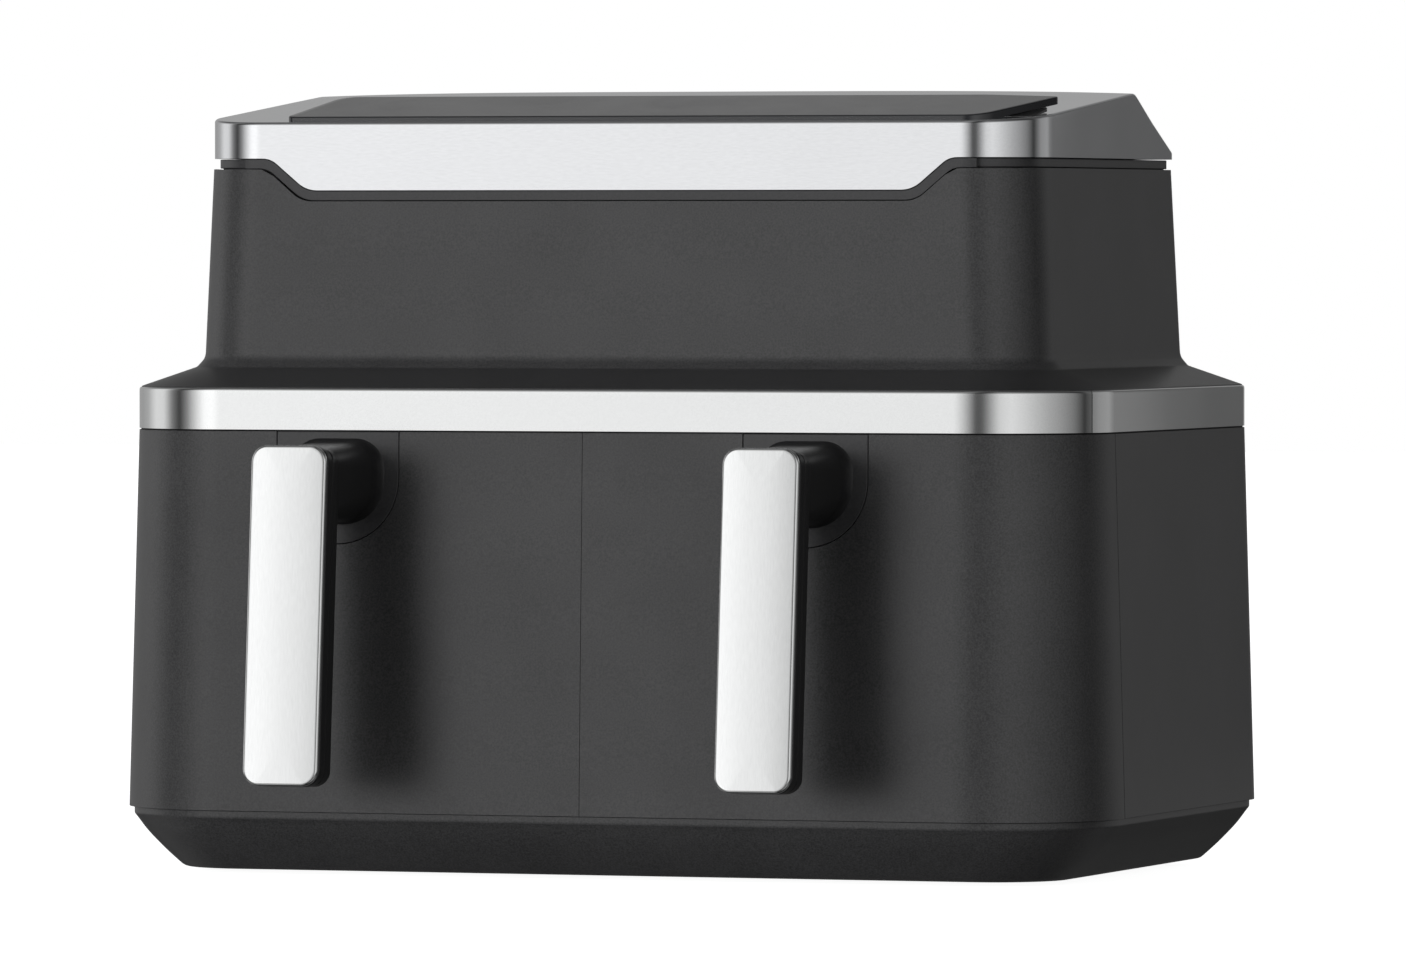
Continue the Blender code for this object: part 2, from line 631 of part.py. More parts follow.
def make_drawer_front(side, sign, joint):
    """Half of the front panel with its corner, a boss behind the handle and a rib for the switch."""
    front = body_wall(f"drawer_front_{side}", Z_SHELL + GAP, Z_BAND - GAP, DRAWER_WALL, SHELL, joint)
    boolean(front, box(f"front_back_{side}", (-0.25, SEAM_Y - GAP, 0.0), (0.25, 0.20, 0.2)))
    half = box(f"front_half_{side}", (-0.25, -0.20, 0.0), (GAP, 0.20, 0.2))
    if sign < 0:
        half.data.transform(Matrix.Translation((0.25 - GAP, 0.0, 0.0)))
    boolean(front, half)
    x = HANDLE_X[side]
    boolean(front, box(f"handle_boss_{side}", (x - 0.031, -0.1210, 0.1215),
                       (x + 0.031, -0.1100, 0.1712)), "UNION")
    boolean(front, box(f"pot_pad_{side}", (x - 0.0055, -0.1110, 0.0600),
                       (x + 0.0055, -0.1064, 0.1340)), "UNION")
    boolean(front, box(f"pad_rib_{side}", (x - 0.0055, -0.1225, 0.0600),
                       (x + 0.0055, -0.1075, 0.1240)), "UNION")
    rib = sorted((sign * 0.0015, sign * 0.0065))
    boolean(front, box(f"switch_rib_{side}", (rib[0], -0.1212, 0.1060),
                       (rib[1], -0.0741, 0.1180)), "UNION")
    boolean(front, prism(f"tab_notch_{side}", tab_outline(x, GAP), "y", -0.15, -0.1186))
    boolean(front, rod(f"boss_hole_{side}", 0.0024, (x, -0.125, SCREW_Z), (x, -0.105, SCREW_Z),
                       "y", sides=12))


def make_pot(side, sign, joint):
    """Drafted basket with a rolled rim: outside up, over the rim, inside down to the floor."""
    outer = [(-0.0140, Z_POT), (-0.0065, 0.0340), (-0.0048, 0.0400), (-0.0016, 0.1375),
             (0.0, 0.1380), (0.0, Z_POT_RIM)]
    inner = [(-0.0032, Z_POT_RIM), (-0.0066, 0.0410), (-0.0085, 0.0362), (-0.0150, 0.0332)]
    sections = [level(plan(**POT, offset=o, x=sign * POT_X), z) for o, z in outer + inner]
    loft(f"basket_{side}", sections, COATED, parent=joint)


def make_crisper(side, sign, drawer):
    """Slotted plate that stands in the basket on four silicone bumpers."""
    middle_y = (POT["front"] + POT["back"]) / 2
    lift = Vector((sign * POT_X, middle_y, Z_PLATE))
    joint = empty(f"crisper_lift_{side}", lift - drawer.location, drawer)
    x = sign * POT_X
    plate = loft(f"crisper_plate_{side}",
                 [level(plan(**POT, offset=-PLATE_INSET, x=x), z) for z in (Z_PLATE, Z_PLATE + PLATE)],
                 COATED)
    slots = []
    for row in range(6):
        for column in range(3):
            slot_x = x + (column - 1) * 0.0420
            slot_y = middle_y + (row - 2.5) * 0.0240
            slots.append(((slot_x - 0.0150, slot_y - 0.0035, 0.03),
                          (slot_x + 0.0150, slot_y + 0.0035, 0.06)))
    boolean(plate, boxes(f"plate_slots_{side}", slots))
    pieces = [plate]
    edge = POT["half"] - PLATE_INSET
    for name, sx, sy in (("front_inner", -1, -1), ("front_outer", 1, -1),
                         ("rear_inner", -1, 1), ("rear_outer", 1, 1)):
        out = sx * sign
        bx = x + out * (edge - 0.0005)
        by = middle_y + sy * 0.0450
        bumper = box(f"bumper_{side}_{name}", (bx - 0.0018, by - 0.0050, 0.0366),
                     (bx + 0.0018, by + 0.0050, 0.0480), RUBBER)
        reach = sorted((bx + out * 0.0009, bx - out * 0.0050))
        boolean(bumper, box(f"bumper_slot_{side}_{name}", (reach[0], by - 0.0080, Z_PLATE - GAP),
                            (reach[1], by + 0.0080, Z_PLATE + PLATE + GAP)))
        pieces.append(bumper)
    for piece in pieces:
        piece.parent = joint
        piece.data.transform(Matrix.Translation(-lift))
    return joint


def grip_slab(name, front, back, inset, finish, joint, x):
    """A layer of the grip: rounded outline, between two depths behind the grip's face."""
    half = GRIP_HALF - inset
    length = GRIP_LENGTH / 2 - inset
    r = GRIP_RADIUS - inset
    outline = rounded([(-half, -length, r), (half, -length, r), (half, length, r),
                       (-half, length, r)], 5)
    tilt = Matrix.Translation((x, HANDLE_Y, HANDLE_Z)) @ Matrix.Rotation(-HANDLE_TILT, 4, "X")
    sections = [[tilt @ Vector((p.x, depth, p.y)) for p in outline] for depth in (front, back)]
    return loft(name, sections, finish, parent=joint)


def make_handle(side, joint):
    """Escutcheon flush in the front, neck, and the layered grip."""
    x = HANDLE_X[side]
    arm = body_wall(f"handle_arm_{side}", 0.1260, Z_BAND - GAP, DRAWER_WALL, BLACK, joint)
    boolean(arm, prism(f"tab_plan_{side}", tab_outline(x, -GAP), "y", -0.15, -0.10), "INTERSECT")
    sections = []
    for y, half, low, high, r_top, r_low in ((-0.1202, 0.0200, 0.1350, 0.1700, 0.012, 0.017),
                                             (-0.1245, 0.0172, 0.1374, 0.1683, 0.010, 0.015),
                                             (-0.1450, 0.0150, 0.1376, 0.1672, 0.009, 0.009),
                                             (-0.1640, 0.0140, 0.1376, 0.1660, 0.006, 0.006)):
        outline = rounded([(x - half, low, r_low), (x + half, low, r_low),
                           (x + half, high, r_top), (x - half, high, r_top)], 5)
        sections.append([Vector((p.x, y, p.y)) for p in outline])
    neck = loft(f"neck_{side}", sections)
    boolean(arm, neck, "UNION")
    boolean(arm, grip_slab(f"grip_back_{side}", 0.0086, 0.0177, 0.0004, None, FRAME, x), "UNION")
    boolean(arm, rod(f"arm_hole_{side}", 0.0024, (x, -0.1320, SCREW_Z), (x, -0.105, SCREW_Z),
                     "y", sides=12))
    screw = rod(f"handle_screw_{side}", 0.0034, (x, -0.1097, SCREW_Z), (x, -0.1074, SCREW_Z),
                "y", STEEL, joint, 12)
    boolean(screw, rod(f"screw_stem_{side}", 0.0020, (x, -0.1310, SCREW_Z),
                       (x, -0.1080, SCREW_Z), "y", sides=12), "UNION")
    grip_slab(f"handle_grip_{side}", 0.0033, 0.0083, 0.0, BLACK, joint, x)
    grip_slab(f"handle_trim_{side}", 0.0, 0.0030, 0.0, SILVER, joint, x)


def make_drawer(side, sign):
    joint = empty(f"drawer_slide_{side}", (sign * POT_X, 0.0, 0.0900), FRAME)
    make_drawer_front(side, sign, joint)
    make_pot(side, sign, joint)
    make_crisper(side, sign, joint)
    make_handle(side, joint)


# ---------------------------------------------------------------- the whole object


def main():
    make_base()
    make_lower_housing()
    make_band()
    make_mid_frame()
    make_upper_housing()
    make_reveal_ring()
    make_apron()
    make_cap()
    make_panel()
    make_bay_frame()
    for side, sign in SIDES.items():
        make_switch(side, sign)
        make_chamber(side, sign)
        make_heater(side, sign)
        make_guard(side, sign)
        make_rotor(side, sign)
        make_drawer(side, sign)


main()
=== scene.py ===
"""Looks of the dual-drawer air fryer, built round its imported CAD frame.

Lengths are metres. Shapes are laid out in the body's own frame (x right, y back, z up from the
lower edge of the base tray) and moved into the shared frame as each piece is made.
"""
import json
from math import cos, pi, radians, sin

import bmesh
import bpy
import numpy as np
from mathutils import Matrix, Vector


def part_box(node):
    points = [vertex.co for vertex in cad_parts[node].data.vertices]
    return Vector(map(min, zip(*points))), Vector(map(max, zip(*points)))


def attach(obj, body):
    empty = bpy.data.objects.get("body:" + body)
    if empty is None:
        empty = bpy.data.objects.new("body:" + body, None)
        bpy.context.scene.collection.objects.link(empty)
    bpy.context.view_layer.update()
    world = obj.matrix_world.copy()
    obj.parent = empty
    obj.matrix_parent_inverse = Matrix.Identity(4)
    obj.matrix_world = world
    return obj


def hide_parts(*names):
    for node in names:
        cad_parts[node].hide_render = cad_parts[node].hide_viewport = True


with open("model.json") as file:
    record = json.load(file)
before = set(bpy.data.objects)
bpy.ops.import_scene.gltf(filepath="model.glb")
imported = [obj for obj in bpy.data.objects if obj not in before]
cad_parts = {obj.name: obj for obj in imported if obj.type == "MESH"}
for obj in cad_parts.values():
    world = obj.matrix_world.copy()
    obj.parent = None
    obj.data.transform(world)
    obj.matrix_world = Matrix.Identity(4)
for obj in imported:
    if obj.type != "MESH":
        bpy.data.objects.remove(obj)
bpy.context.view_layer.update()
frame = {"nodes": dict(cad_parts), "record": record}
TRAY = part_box("base_tray")
PLACE = np.array([0.0, TRAY[0].y + 0.1242, TRAY[0].z])   # body frame to shared frame

# ------------------------------------------------------------------ sizes of the object

GAP = 0.0003
WALL = 0.0024
BODY = (0.2000, -0.1221, 0.1190, 0.0481, 0.0220)     # half width, front, back, corner radii
FOOT = (0.1752, -0.0974, 0.1045, 0.0275, 0.0125)     # upper housing at its foot
NECK = (0.1778, -0.1000, 0.1064, 0.0295, 0.0145)     # where the shoulder starts to turn up
TOP = (0.1722, -0.0952, 0.1010, 0.0270, 0.0120)      # upper housing at its top
CAP = (0.1721, -0.0946, 0.0960, 0.0270, 0.0040)
POT = (0.0875, -0.1060, 0.0950, 0.0380, 0.0380)
DRAFT = 0.0041
Z_SHELL, Z_BAND, Z_BAND_TOP = 0.0238, 0.1725, 0.1890
Z_FOOT, Z_UPPER_TOP = 0.1995, 0.2746
Z_CAP, Z_CAP_FRONT, Z_RIDGE, RIDGE_Y = 0.2787, 0.2928, 0.3062, 0.0440
SKIRT_LOW, SKIRT_HIGH, Z_SKIRT = 0.1250, 0.1400, 0.2662
APRON, APRON_HALF = 0.0040, 0.1510
PANEL_Y, PANEL_Z, PANEL_TILT, GLASS = -0.0880, 0.2950, 0.20, 0.0028
SEAM_Y = -0.0720
HANDLE_X = {"left": -0.1012, "right": 0.0911}
HANDLE_Y, HANDLE_Z, HANDLE_TILT = -0.1807, 0.1023, radians(4.63)
GRIP = (0.0155, 0.0657, 0.0065)                        # half width, half length, corner radius
TAB_HALF, Z_TAB = 0.0255, 0.1284                       # escutcheon: half width, lower edge
NOTCH, TAB_SHRINK = 0.0001, 0.0002                     # room round it: in the front, on the tab
POT_X = 0.0985
GLAND_X, GLAND_Z = 0.1500, 0.0450
SIDES = {"left": -1, "right": 1}

# ------------------------------------------------------------------ materials


def tint(code):
    """sRGB hex to the linear colour a shader takes."""
    part = np.array([int(code[i:i + 2], 16) for i in (1, 3, 5)]) / 255
    linear = np.where(part <= 0.04045, part / 12.92, ((part + 0.055) / 1.055) ** 2.4)
    return (*linear.tolist(), 1.0)


def node(tree, kind, settings=None, links=None):
    """Adds a node. Capitalised or numbered settings are sockets, stops fill a ramp, others are
    properties."""
    made = tree.nodes.new("ShaderNode" + kind)
    for key, value in (settings or {}).items():
        if key == "stops":
            ramp = made.color_ramp.elements
            while len(ramp) < len(value):
                ramp.new(1.0)
            for element, (place, colour) in zip(ramp, value):
                element.position = place
                element.color = colour if isinstance(colour, tuple) else (colour, colour, colour, 1.0)
        elif isinstance(key, int) or key[0].isupper():
            made.inputs[key].default_value = value
        else:
            setattr(made, key, value)
    for key, source in (links or {}).items():
        tree.links.new(source, made.inputs[key])
    return made


def blank(name):
    """A material with an output, a Principled shader and object coordinates, ready for its pattern."""
    made = bpy.data.materials.new(name)
    made.use_nodes = True
    tree = made.node_tree
    tree.nodes.clear()
    shader = node(tree, "BsdfPrincipled")
    node(tree, "OutputMaterial", {}, {"Surface": shader.outputs[0]})
    place = node(tree, "TexCoord").outputs["Object"]
    return made, tree, shader, place


def wire(tree, shader, colour, rough, bump=None):
    """Feeds a shader its colour, roughness and, if there is one, its bump."""
    tree.links.new(colour.outputs[0], shader.inputs["Base Color"])
    tree.links.new(rough.outputs[0], shader.inputs["Roughness"])
    if bump:
        tree.links.new(bump.outputs[0], shader.inputs["Normal"])


def moulded_plastic(name, dark, light, roughness, grain=0.0007, depth=0.000018, level=0.5):
    """Injection-moulded ABS with a spark-eroded texture: a fine matt grain with faint cloudiness.
    The real grain is 0.2 mm and is drawn coarser, at the size given, so that it shows."""
    made, tree, shader, place = blank(name)
    fine = node(tree, "TexNoise", {"Scale": 1 / grain, "Detail": 2.0, "Roughness": 0.6},
                {"Vector": place})
    cloud = node(tree, "TexNoise", {"Scale": 28.0, "Detail": 3.0, "Roughness": 0.5},
                 {"Vector": place})
    blend = node(tree, "Math", {"operation": "MULTIPLY_ADD", 1: 0.22},
                 {0: cloud.outputs[0], 2: fine.outputs[0]})
    colour = node(tree, "ValToRGB", {"stops": [(0.42, tint(dark)), (0.80, tint(light))]},
                  {"Fac": blend.outputs[0]})
    rough = node(tree, "MapRange", {1: 0.3, 2: 0.7, 3: roughness - 0.05, 4: roughness + 0.05},
                 {0: fine.outputs[0]})
    bump = node(tree, "Bump", {"Strength": 0.6, "Distance": depth}, {"Height": fine.outputs[0]})
    shader.inputs["IOR"].default_value = 1.52
    shader.inputs["Specular IOR Level"].default_value = level
    wire(tree, shader, colour, rough, bump)
    return made


def metal(name, dark, light, roughness, stretch, grain=0.0006, depth=0.000002):
    """Metal finish: fine grain stretched along the way it was worked, which blurs its reflections
    that way. The real scratches are 0.05 mm wide and are drawn coarser so that they show."""
    made, tree, shader, place = blank(name)
    turned = node(tree, "Mapping", {"Scale": stretch}, {"Vector": place})
    fine = node(tree, "TexNoise", {"Scale": 1 / grain, "Detail": 3.0, "Roughness": 0.65},
                {"Vector": turned.outputs[0]})
    cloud = node(tree, "TexNoise", {"Scale": 22.0, "Detail": 2.0}, {"Vector": place})
    colour = node(tree, "ValToRGB", {"stops": [(0.30, tint(dark)), (0.70, tint(light))]},
                  {"Fac": fine.outputs[0]})
    rough = node(tree, "MapRange", {1: 0.3, 2: 0.7, 3: roughness * 0.88, 4: roughness * 1.12},
                 {0: cloud.outputs[0]})
    bump = node(tree, "Bump", {"Strength": 0.5, "Distance": depth}, {"Height": fine.outputs[0]})
    shader.inputs["Metallic"].default_value = 1.0
    wire(tree, shader, colour, rough, bump)
    return made


def panel_acrylic():
    """Back-painted gloss acrylic: a clear hard face over dark grey paint, with faint wiped smears."""
    made, tree, shader, place = blank("gloss_acrylic_panel")
    smear = node(tree, "TexNoise", {"Scale": 38.0, "Detail": 4.0, "Distortion": 0.8},
                 {"Vector": place})
    colour = node(tree, "ValToRGB", {"stops": [(0.35, tint("#2b2c2f")), (0.70, tint("#313235"))]},
                  {"Fac": smear.outputs[0]})
    rough = node(tree, "MapRange", {1: 0.3, 2: 0.7, 3: 0.16, 4: 0.24}, {0: smear.outputs[0]})
    shader.inputs["IOR"].default_value = 1.49
    shader.inputs["Coat Weight"].default_value = 0.6
    shader.inputs["Coat Roughness"].default_value = 0.05
    wire(tree, shader, colour, rough)
    return made


def speckled_coating():
    """Sprayed non-stick coating on pressed steel: satin dark grey with paler mineral specks of 0.6 mm
    and a slight orange peel."""
    made, tree, shader, place = blank("nonstick_coating")
    specks = node(tree, "TexVoronoi", {"Scale": 420.0}, {"Vector": place})
    mask = node(tree, "ValToRGB", {"stops": [(0.10, tint("#606063")), (0.17, tint("#2c2c2e"))]},
                {"Fac": specks.outputs["Distance"]})
    peel = node(tree, "TexNoise", {"Scale": 700.0, "Detail": 1.0}, {"Vector": place})
    rough = node(tree, "MapRange", {1: 0.3, 2: 0.7, 3: 0.34, 4: 0.44}, {0: peel.outputs[0]})
    bump = node(tree, "Bump", {"Strength": 0.4, "Distance": 0.00002}, {"Height": peel.outputs[0]})
    shader.inputs["IOR"].default_value = 1.45
    wire(tree, shader, mask, rough, bump)
    return made


def board_laminate():
    """Glass-epoxy circuit laminate: green solder mask over copper tracks about 1 mm wide."""
    made, tree, shader, place = blank("circuit_laminate")
    tracks = node(tree, "TexBrick", {"Scale": 260.0, "Mortar Size": 0.05, "Color1": tint("#1c5a35"),
                                     "Color2": tint("#216640"), "Mortar": tint("#3f8457")},
                  {"Vector": place})
    weave = node(tree, "TexNoise", {"Scale": 1500.0}, {"Vector": place})
    rough = node(tree, "MapRange", {1: 0.3, 2: 0.7, 3: 0.35, 4: 0.5}, {0: weave.outputs[0]})
    wire(tree, shader, tracks, rough)
    return made


CHARCOAL = moulded_plastic("charcoal_textured_abs", "#333334", "#505051", 0.36, level=0.62)
BLACK = moulded_plastic("black_satin_abs", "#202021", "#2b2b2c", 0.36, 0.0009, 0.000010)
GREY_ABS = moulded_plastic("grey_satin_abs", "#38383a", "#454546", 0.36, 0.0009, 0.000006, 0.62)
# A darker, duller copy of the black plastic: painted shade for the strips that close slits and for
# inner parts that sit in the dark.
SHADE_BLACK = moulded_plastic("painted_shade_black_abs", "#0c0c0d", "#131314", 0.60, 0.0009, 0.000010, 0.3)
RUBBER = moulded_plastic("silicone_rubber", "#1b1b1b", "#262626", 0.78, 0.0011, 0.000020, 0.3)
SILVER = metal("satin_anodised_aluminium", "#edeeee", "#f3f4f4", 0.12, (1.0, 1.0, 1.0))
TRIM = metal("polished_trim_aluminium", "#ebecec", "#f1f2f2", 0.14, (1.0, 1.0, 0.15),
             0.0006, 0.0000007)
CAP_SILVER = metal("satin_cap_aluminium", "#ebecee", "#f1f2f4", 0.13, (0.2, 1.0, 1.0),
                   0.0006, 0.000001)
STEEL = metal("rolled_stainless_steel", "#a9abad", "#c0c2c4", 0.30, (1.0, 0.08, 1.0))
MOTOR = metal("zinc_plated_steel", "#8f9194", "#a8aaac", 0.42, (1.0, 1.0, 1.0))
PANEL = panel_acrylic()
COATING = speckled_coating()
BOARD = board_laminate()
SLOT_FINISH = {"charcoal_shell": CHARCOAL, "black_plastic": BLACK, "satin_silver": SILVER,
               "panel_glass": PANEL, "chamber_steel": STEEL, "nonstick_coat": COATING,
               "motor_steel": MOTOR, "board_green": BOARD, "silicone": RUBBER}


def finish_cad_nodes():
    """Every CAD node takes the finish of its slot, except the inner frames that sit in the dark: they
    take the darker black, as painted shade.
    """
    for part in frame["record"]["subparts"]:
        mesh = frame["nodes"][part["node"]].data
        mesh.materials.clear()
        mesh.materials.append(SLOT_FINISH[part["material_slot"]])
    for name in ("mid_frame", "bay_frame"):
        frame["nodes"][name].data.materials[0] = SHADE_BLACK


# ------------------------------------------------------------------ curves and grids


def spread(*knots):
    """Numbers from knot to knot: spread(a, n, b, m, c) runs a to b in n steps, then b to c in m."""
    parts = [np.linspace(knots[i], knots[i + 2], knots[i + 1], endpoint=False)
             for i in range(0, len(knots) - 2, 2)]
    return np.concatenate(parts + [[knots[-1]]])


def eased(keys, steps=6, closed=False, guard=0.0008):
    """A polyline with its corners rounded. Each key is a point whose last number is the length by
    which its corner is cut; the cut is a quadratic curve (1-t)^2 A + 2t(1-t) K + t^2 B between the
    two cut points, and a guard point follows on each straight side to keep it flat in shading."""
    keys = np.array(keys, float)
    points, ease = keys[:, :-1], keys[:, -1]
    t = np.linspace(0, 1, steps + 1)[:, None]
    rows = []
    for i, (point, cut) in enumerate(zip(points, ease)):
        if cut == 0 or (not closed and i in (0, len(points) - 1)):
            rows.append(point[None])
            continue
        ends, guards = [], []
        for other in (points[i - 1], points[(i + 1) % len(points)]):
            way = other - point
            size = np.linalg.norm(way)
            reach = min(cut, size * 0.49)
            ends.append(point + way * reach / size)
            further = min(reach + guard, size * 0.495)
            guards.append(point + way * further / size)
        curve = (1 - t) ** 2 * ends[0] + 2 * t * (1 - t) * point + t ** 2 * ends[1]
        rows += [guards[0][None], curve, guards[1][None]]
    return np.concatenate(rows)


def stretch(i, j, shares):
    """Outline samples on the straight side from corner i to corner j: weights run over linearly."""
    shares = np.asarray(shares, float)
    weights = np.zeros((len(shares), 4))
    weights[:, i] += 1 - shares
    weights[:, j] += shares
    return weights, np.full(len(shares), (i + 2) * pi / 2 + pi / 2)


def bend(i, shares):
    """Outline samples round corner i, over the given shares of its quarter turn."""
    shares = np.asarray(shares, float)
    weights = np.zeros((len(shares), 4))
    weights[:, i] = 1.0
    return weights, (i + 2) * pi / 2 + shares * pi / 2


def joined(*parts):
    return np.concatenate([p[0] for p in parts]), np.concatenate([p[1] for p in parts])


EDGE = np.array([0.004, 0.012, 0.04])
SIDE = np.concatenate([EDGE, np.linspace(0.1, 0.9, 9), 1 - EDGE[::-1]])
ARC = np.linspace(0, 1, 25)
AROUND = joined(bend(0, ARC), stretch(0, 1, SIDE), bend(1, ARC), stretch(1, 2, SIDE),
                bend(2, ARC), stretch(2, 3, SIDE), bend(3, ARC), stretch(3, 0, SIDE))


def outline(rule, half, front, back, r_front, r_back):
    """Rounded rectangle as corner centre plus radius times direction: along a side the centre runs
    from one corner's to the next, round a corner only the direction turns. The sizes may be
    columns, one row each, or whole arrays that differ from point to point."""
    w, angle = rule
    near = w[:, 0] + w[:, 1]
    far = w[:, 2] + w[:, 3]
    radius = near * r_front + far * r_back
    x = (w[:, 1] - w[:, 0]) * (half - r_front) + (w[:, 2] - w[:, 3]) * (half - r_back)
    y = near * (front + r_front) + far * (back - r_back)
    return x + radius * np.cos(angle), y + radius * np.sin(angle)


def plan(size, offset):
    """The sizes of an outline moved outwards by an offset, or by a column of offsets."""
    half, front, back, r_front, r_back = size
    return (half + offset, front - offset, back + offset,
            np.maximum(r_front + offset, 0.0003), np.maximum(r_back + offset, 0.0003))


def carried(rule, size, profile, x=0.0):
    """A profile of (offset, z) rows carried along an outline: rows down, outline points across."""
    profile = np.asarray(profile)
    px, py = outline(rule, *plan(size, profile[:, :1]))
    z = np.broadcast_to(profile[:, 1:2], px.shape)
    return np.stack([px + x, py, z], axis=-1)


def lid(loop, middle=None, steps=(1.0, 0.985, 0.6, 0.3, 0.0)):
    """Flat closing of a loop: the loop shrunk towards its middle in steps, down to one point."""
    centre = loop.mean(axis=0) if middle is None else np.asarray(middle, float)
    share = np.array(steps)[:, None, None]
    return centre + (loop[None] - centre) * share


def lathe(profile, steps):
    """A profile of (radius, place on the axis) turned once round: two arrays across the axis, one
    along it."""
    angle = np.linspace(0, 2 * pi, steps, endpoint=False)
    radius = profile[:, :1]
    along = np.broadcast_to(profile[:, 1:2], (len(profile), steps))
    return radius * np.cos(angle), radius * np.sin(angle), along


def wall_offset(z):
    """Outward draft of the body's wall, which grows straight from the band down to the shell's edge."""
    return DRAFT * (Z_BAND - z) / (Z_BAND - Z_SHELL)


SKIRT_CURVE = {}


def skirt(x, gap):
    """Height of the front drop's lower line, moved down and outwards by gap: two levels joined by
    a slope, with a fillet at either end."""
    slant = (Z_CAP - Z_SKIRT) / (SKIRT_HIGH - SKIRT_LOW)
    shift = gap * ((1 + slant * slant) ** 0.5 - 1) / slant
    if gap not in SKIRT_CURVE:
        keys = [(0.0, Z_SKIRT - gap, 0.0), (SKIRT_LOW + shift, Z_SKIRT - gap, 0.0046),
                (SKIRT_HIGH + shift, Z_CAP - gap, 0.0034), (0.3, Z_CAP - gap, 0.0)]
        SKIRT_CURVE[gap] = eased(keys, 12)
    line = SKIRT_CURVE[gap]
    return np.interp(np.abs(x), line[:, 0], line[:, 1])


# ------------------------------------------------------------------ making a piece


def placed(name, data):
    """A new object in the scene, at the origin."""
    made = bpy.data.objects.new(name, data)
    bpy.context.scene.collection.objects.link(made)
    return made


def faces_of(rows, columns, wrap_rows, wrap_columns, keep=None):
    """Quads of a grid, closed on itself where asked. keep is a mask of the cells that stay."""
    index = np.arange(rows * columns).reshape(rows, columns)
    if wrap_rows:
        index = np.concatenate([index, index[:1]])
    if wrap_columns:
        index = np.concatenate([index, index[:, :1]], axis=1)
    quads = np.stack([index[:-1, :-1], index[:-1, 1:], index[1:, 1:], index[1:, :-1]], axis=-1)
    return quads.reshape(-1, 4) if keep is None else quads[keep]


def piece(name, grids, finish, body, stands_for=(), thick=0.0, bevel=0.0, middle=(0, 0, 0.1), sharp=38):
    """One object out of point grids, each (points, wrap_rows, wrap_columns[, keep]). Doubles are
    merged; faces are made consistent and turned away from the middle, which decides the sign of
    the sum of normal times distance. A thickness goes inwards, then the rims are bevelled."""
    points, quads, base = [], [], 0
    for grid in grids:
        array, wrap_rows, wrap_columns = grid[:3]
        rows, columns = array.shape[:2]
        keep = grid[3] if len(grid) > 3 else None
        quads.append(faces_of(rows, columns, wrap_rows, wrap_columns, keep) + base)
        points.append(array.reshape(-1, 3))
        base += rows * columns
    points = np.concatenate(points)
    quads = np.concatenate(quads)
    mesh = bpy.data.meshes.new(name)
    mesh.from_pydata((points + PLACE).tolist(), [], quads.tolist())
    bm = bmesh.new()
    bm.from_mesh(mesh)
    bmesh.ops.remove_doubles(bm, verts=bm.verts, dist=2e-6)
    bmesh.ops.recalc_face_normals(bm, faces=bm.faces)
    loose = [v for v in bm.verts if not v.link_faces]
    bmesh.ops.delete(bm, geom=loose, context="VERTS")
    centre = Vector(np.asarray(middle, float) + PLACE)
    total = sum(f.normal.dot(f.calc_center_median() - centre) * f.calc_area() for f in bm.faces)
    if total < 0:
        bmesh.ops.reverse_faces(bm, faces=bm.faces)
    bm.to_mesh(mesh)
    bm.free()
    mesh.materials.append(finish)
    mesh.shade_smooth()
    mesh.set_sharp_from_angle(angle=radians(sharp))
    made = placed(name, mesh)
    if thick:
        wall = made.modifiers.new("wall", "SOLIDIFY")
        wall.thickness = thick
        wall.offset = -1.0
        wall.use_even_offset = True
    if bevel:
        edge = made.modifiers.new("edge", "BEVEL")
        edge.width = bevel
        edge.segments = 2
        edge.limit_method = "ANGLE"
        edge.angle_limit = radians(50)
        edge.harden_normals = True
    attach(made, body)
    if stands_for:
        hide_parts(*stands_for)
    return made


# ------------------------------------------------------------------ lower body


def base_tray():
    """Chamfered tray with a slightly bowed chamfer, a proud rim and a stepped lip inside it."""
    keys = [(-0.0178, 0.0, 0.0020), (-0.0108, 0.0062, 0.004), (-0.0031, 0.0141, 0.004),
            (0.0010, 0.0197, 0.0012), (0.0021, 0.0210, 0.0006), (0.0021, Z_SHELL - 0.0001, 0.0001),
            (-0.0006, Z_SHELL - 0.0001, 0.0003), (-0.0024, 0.0200, 0.001), (-0.0195, 0.0025, 0.001)]
    profile = eased([(-0.024, 0.0, 0.0)] + keys + [(-0.030, 0.0025, 0.0)], 5)
    wall = carried(AROUND, BODY, profile)
    piece("base_tray_moulding", [(wall, False, True), (lid(wall[0]), False, True),
                                 (lid(wall[-1]), False, True)], CHARCOAL, "casing", ["base_tray"])


def foot(name, x, y):
    """Rubber foot: a profile turned about z, with a rounded tread and a shallow dish."""
    profile = eased([(0.0001, -0.0014, 0.0), (0.0055, -0.0014, 0.0008), (0.0066, -0.0018, 0.0004),
                     (0.0090, -0.0018, 0.0007), (0.0090, -GAP, 0.0002), (0.0001, -GAP, 0.0)], 4,
                    guard=0.0002)
    across, deep, z = lathe(profile, 40)
    grid = np.stack([x + across, y + deep, z], axis=-1)
    piece(name + "_pad", [(grid, False, True), (lid(grid[0], steps=(1, 0)), False, True),
                          (lid(grid[-1], steps=(1, 0)), False, True)], RUBBER, "casing", [name],
          middle=(x, y, -0.001))


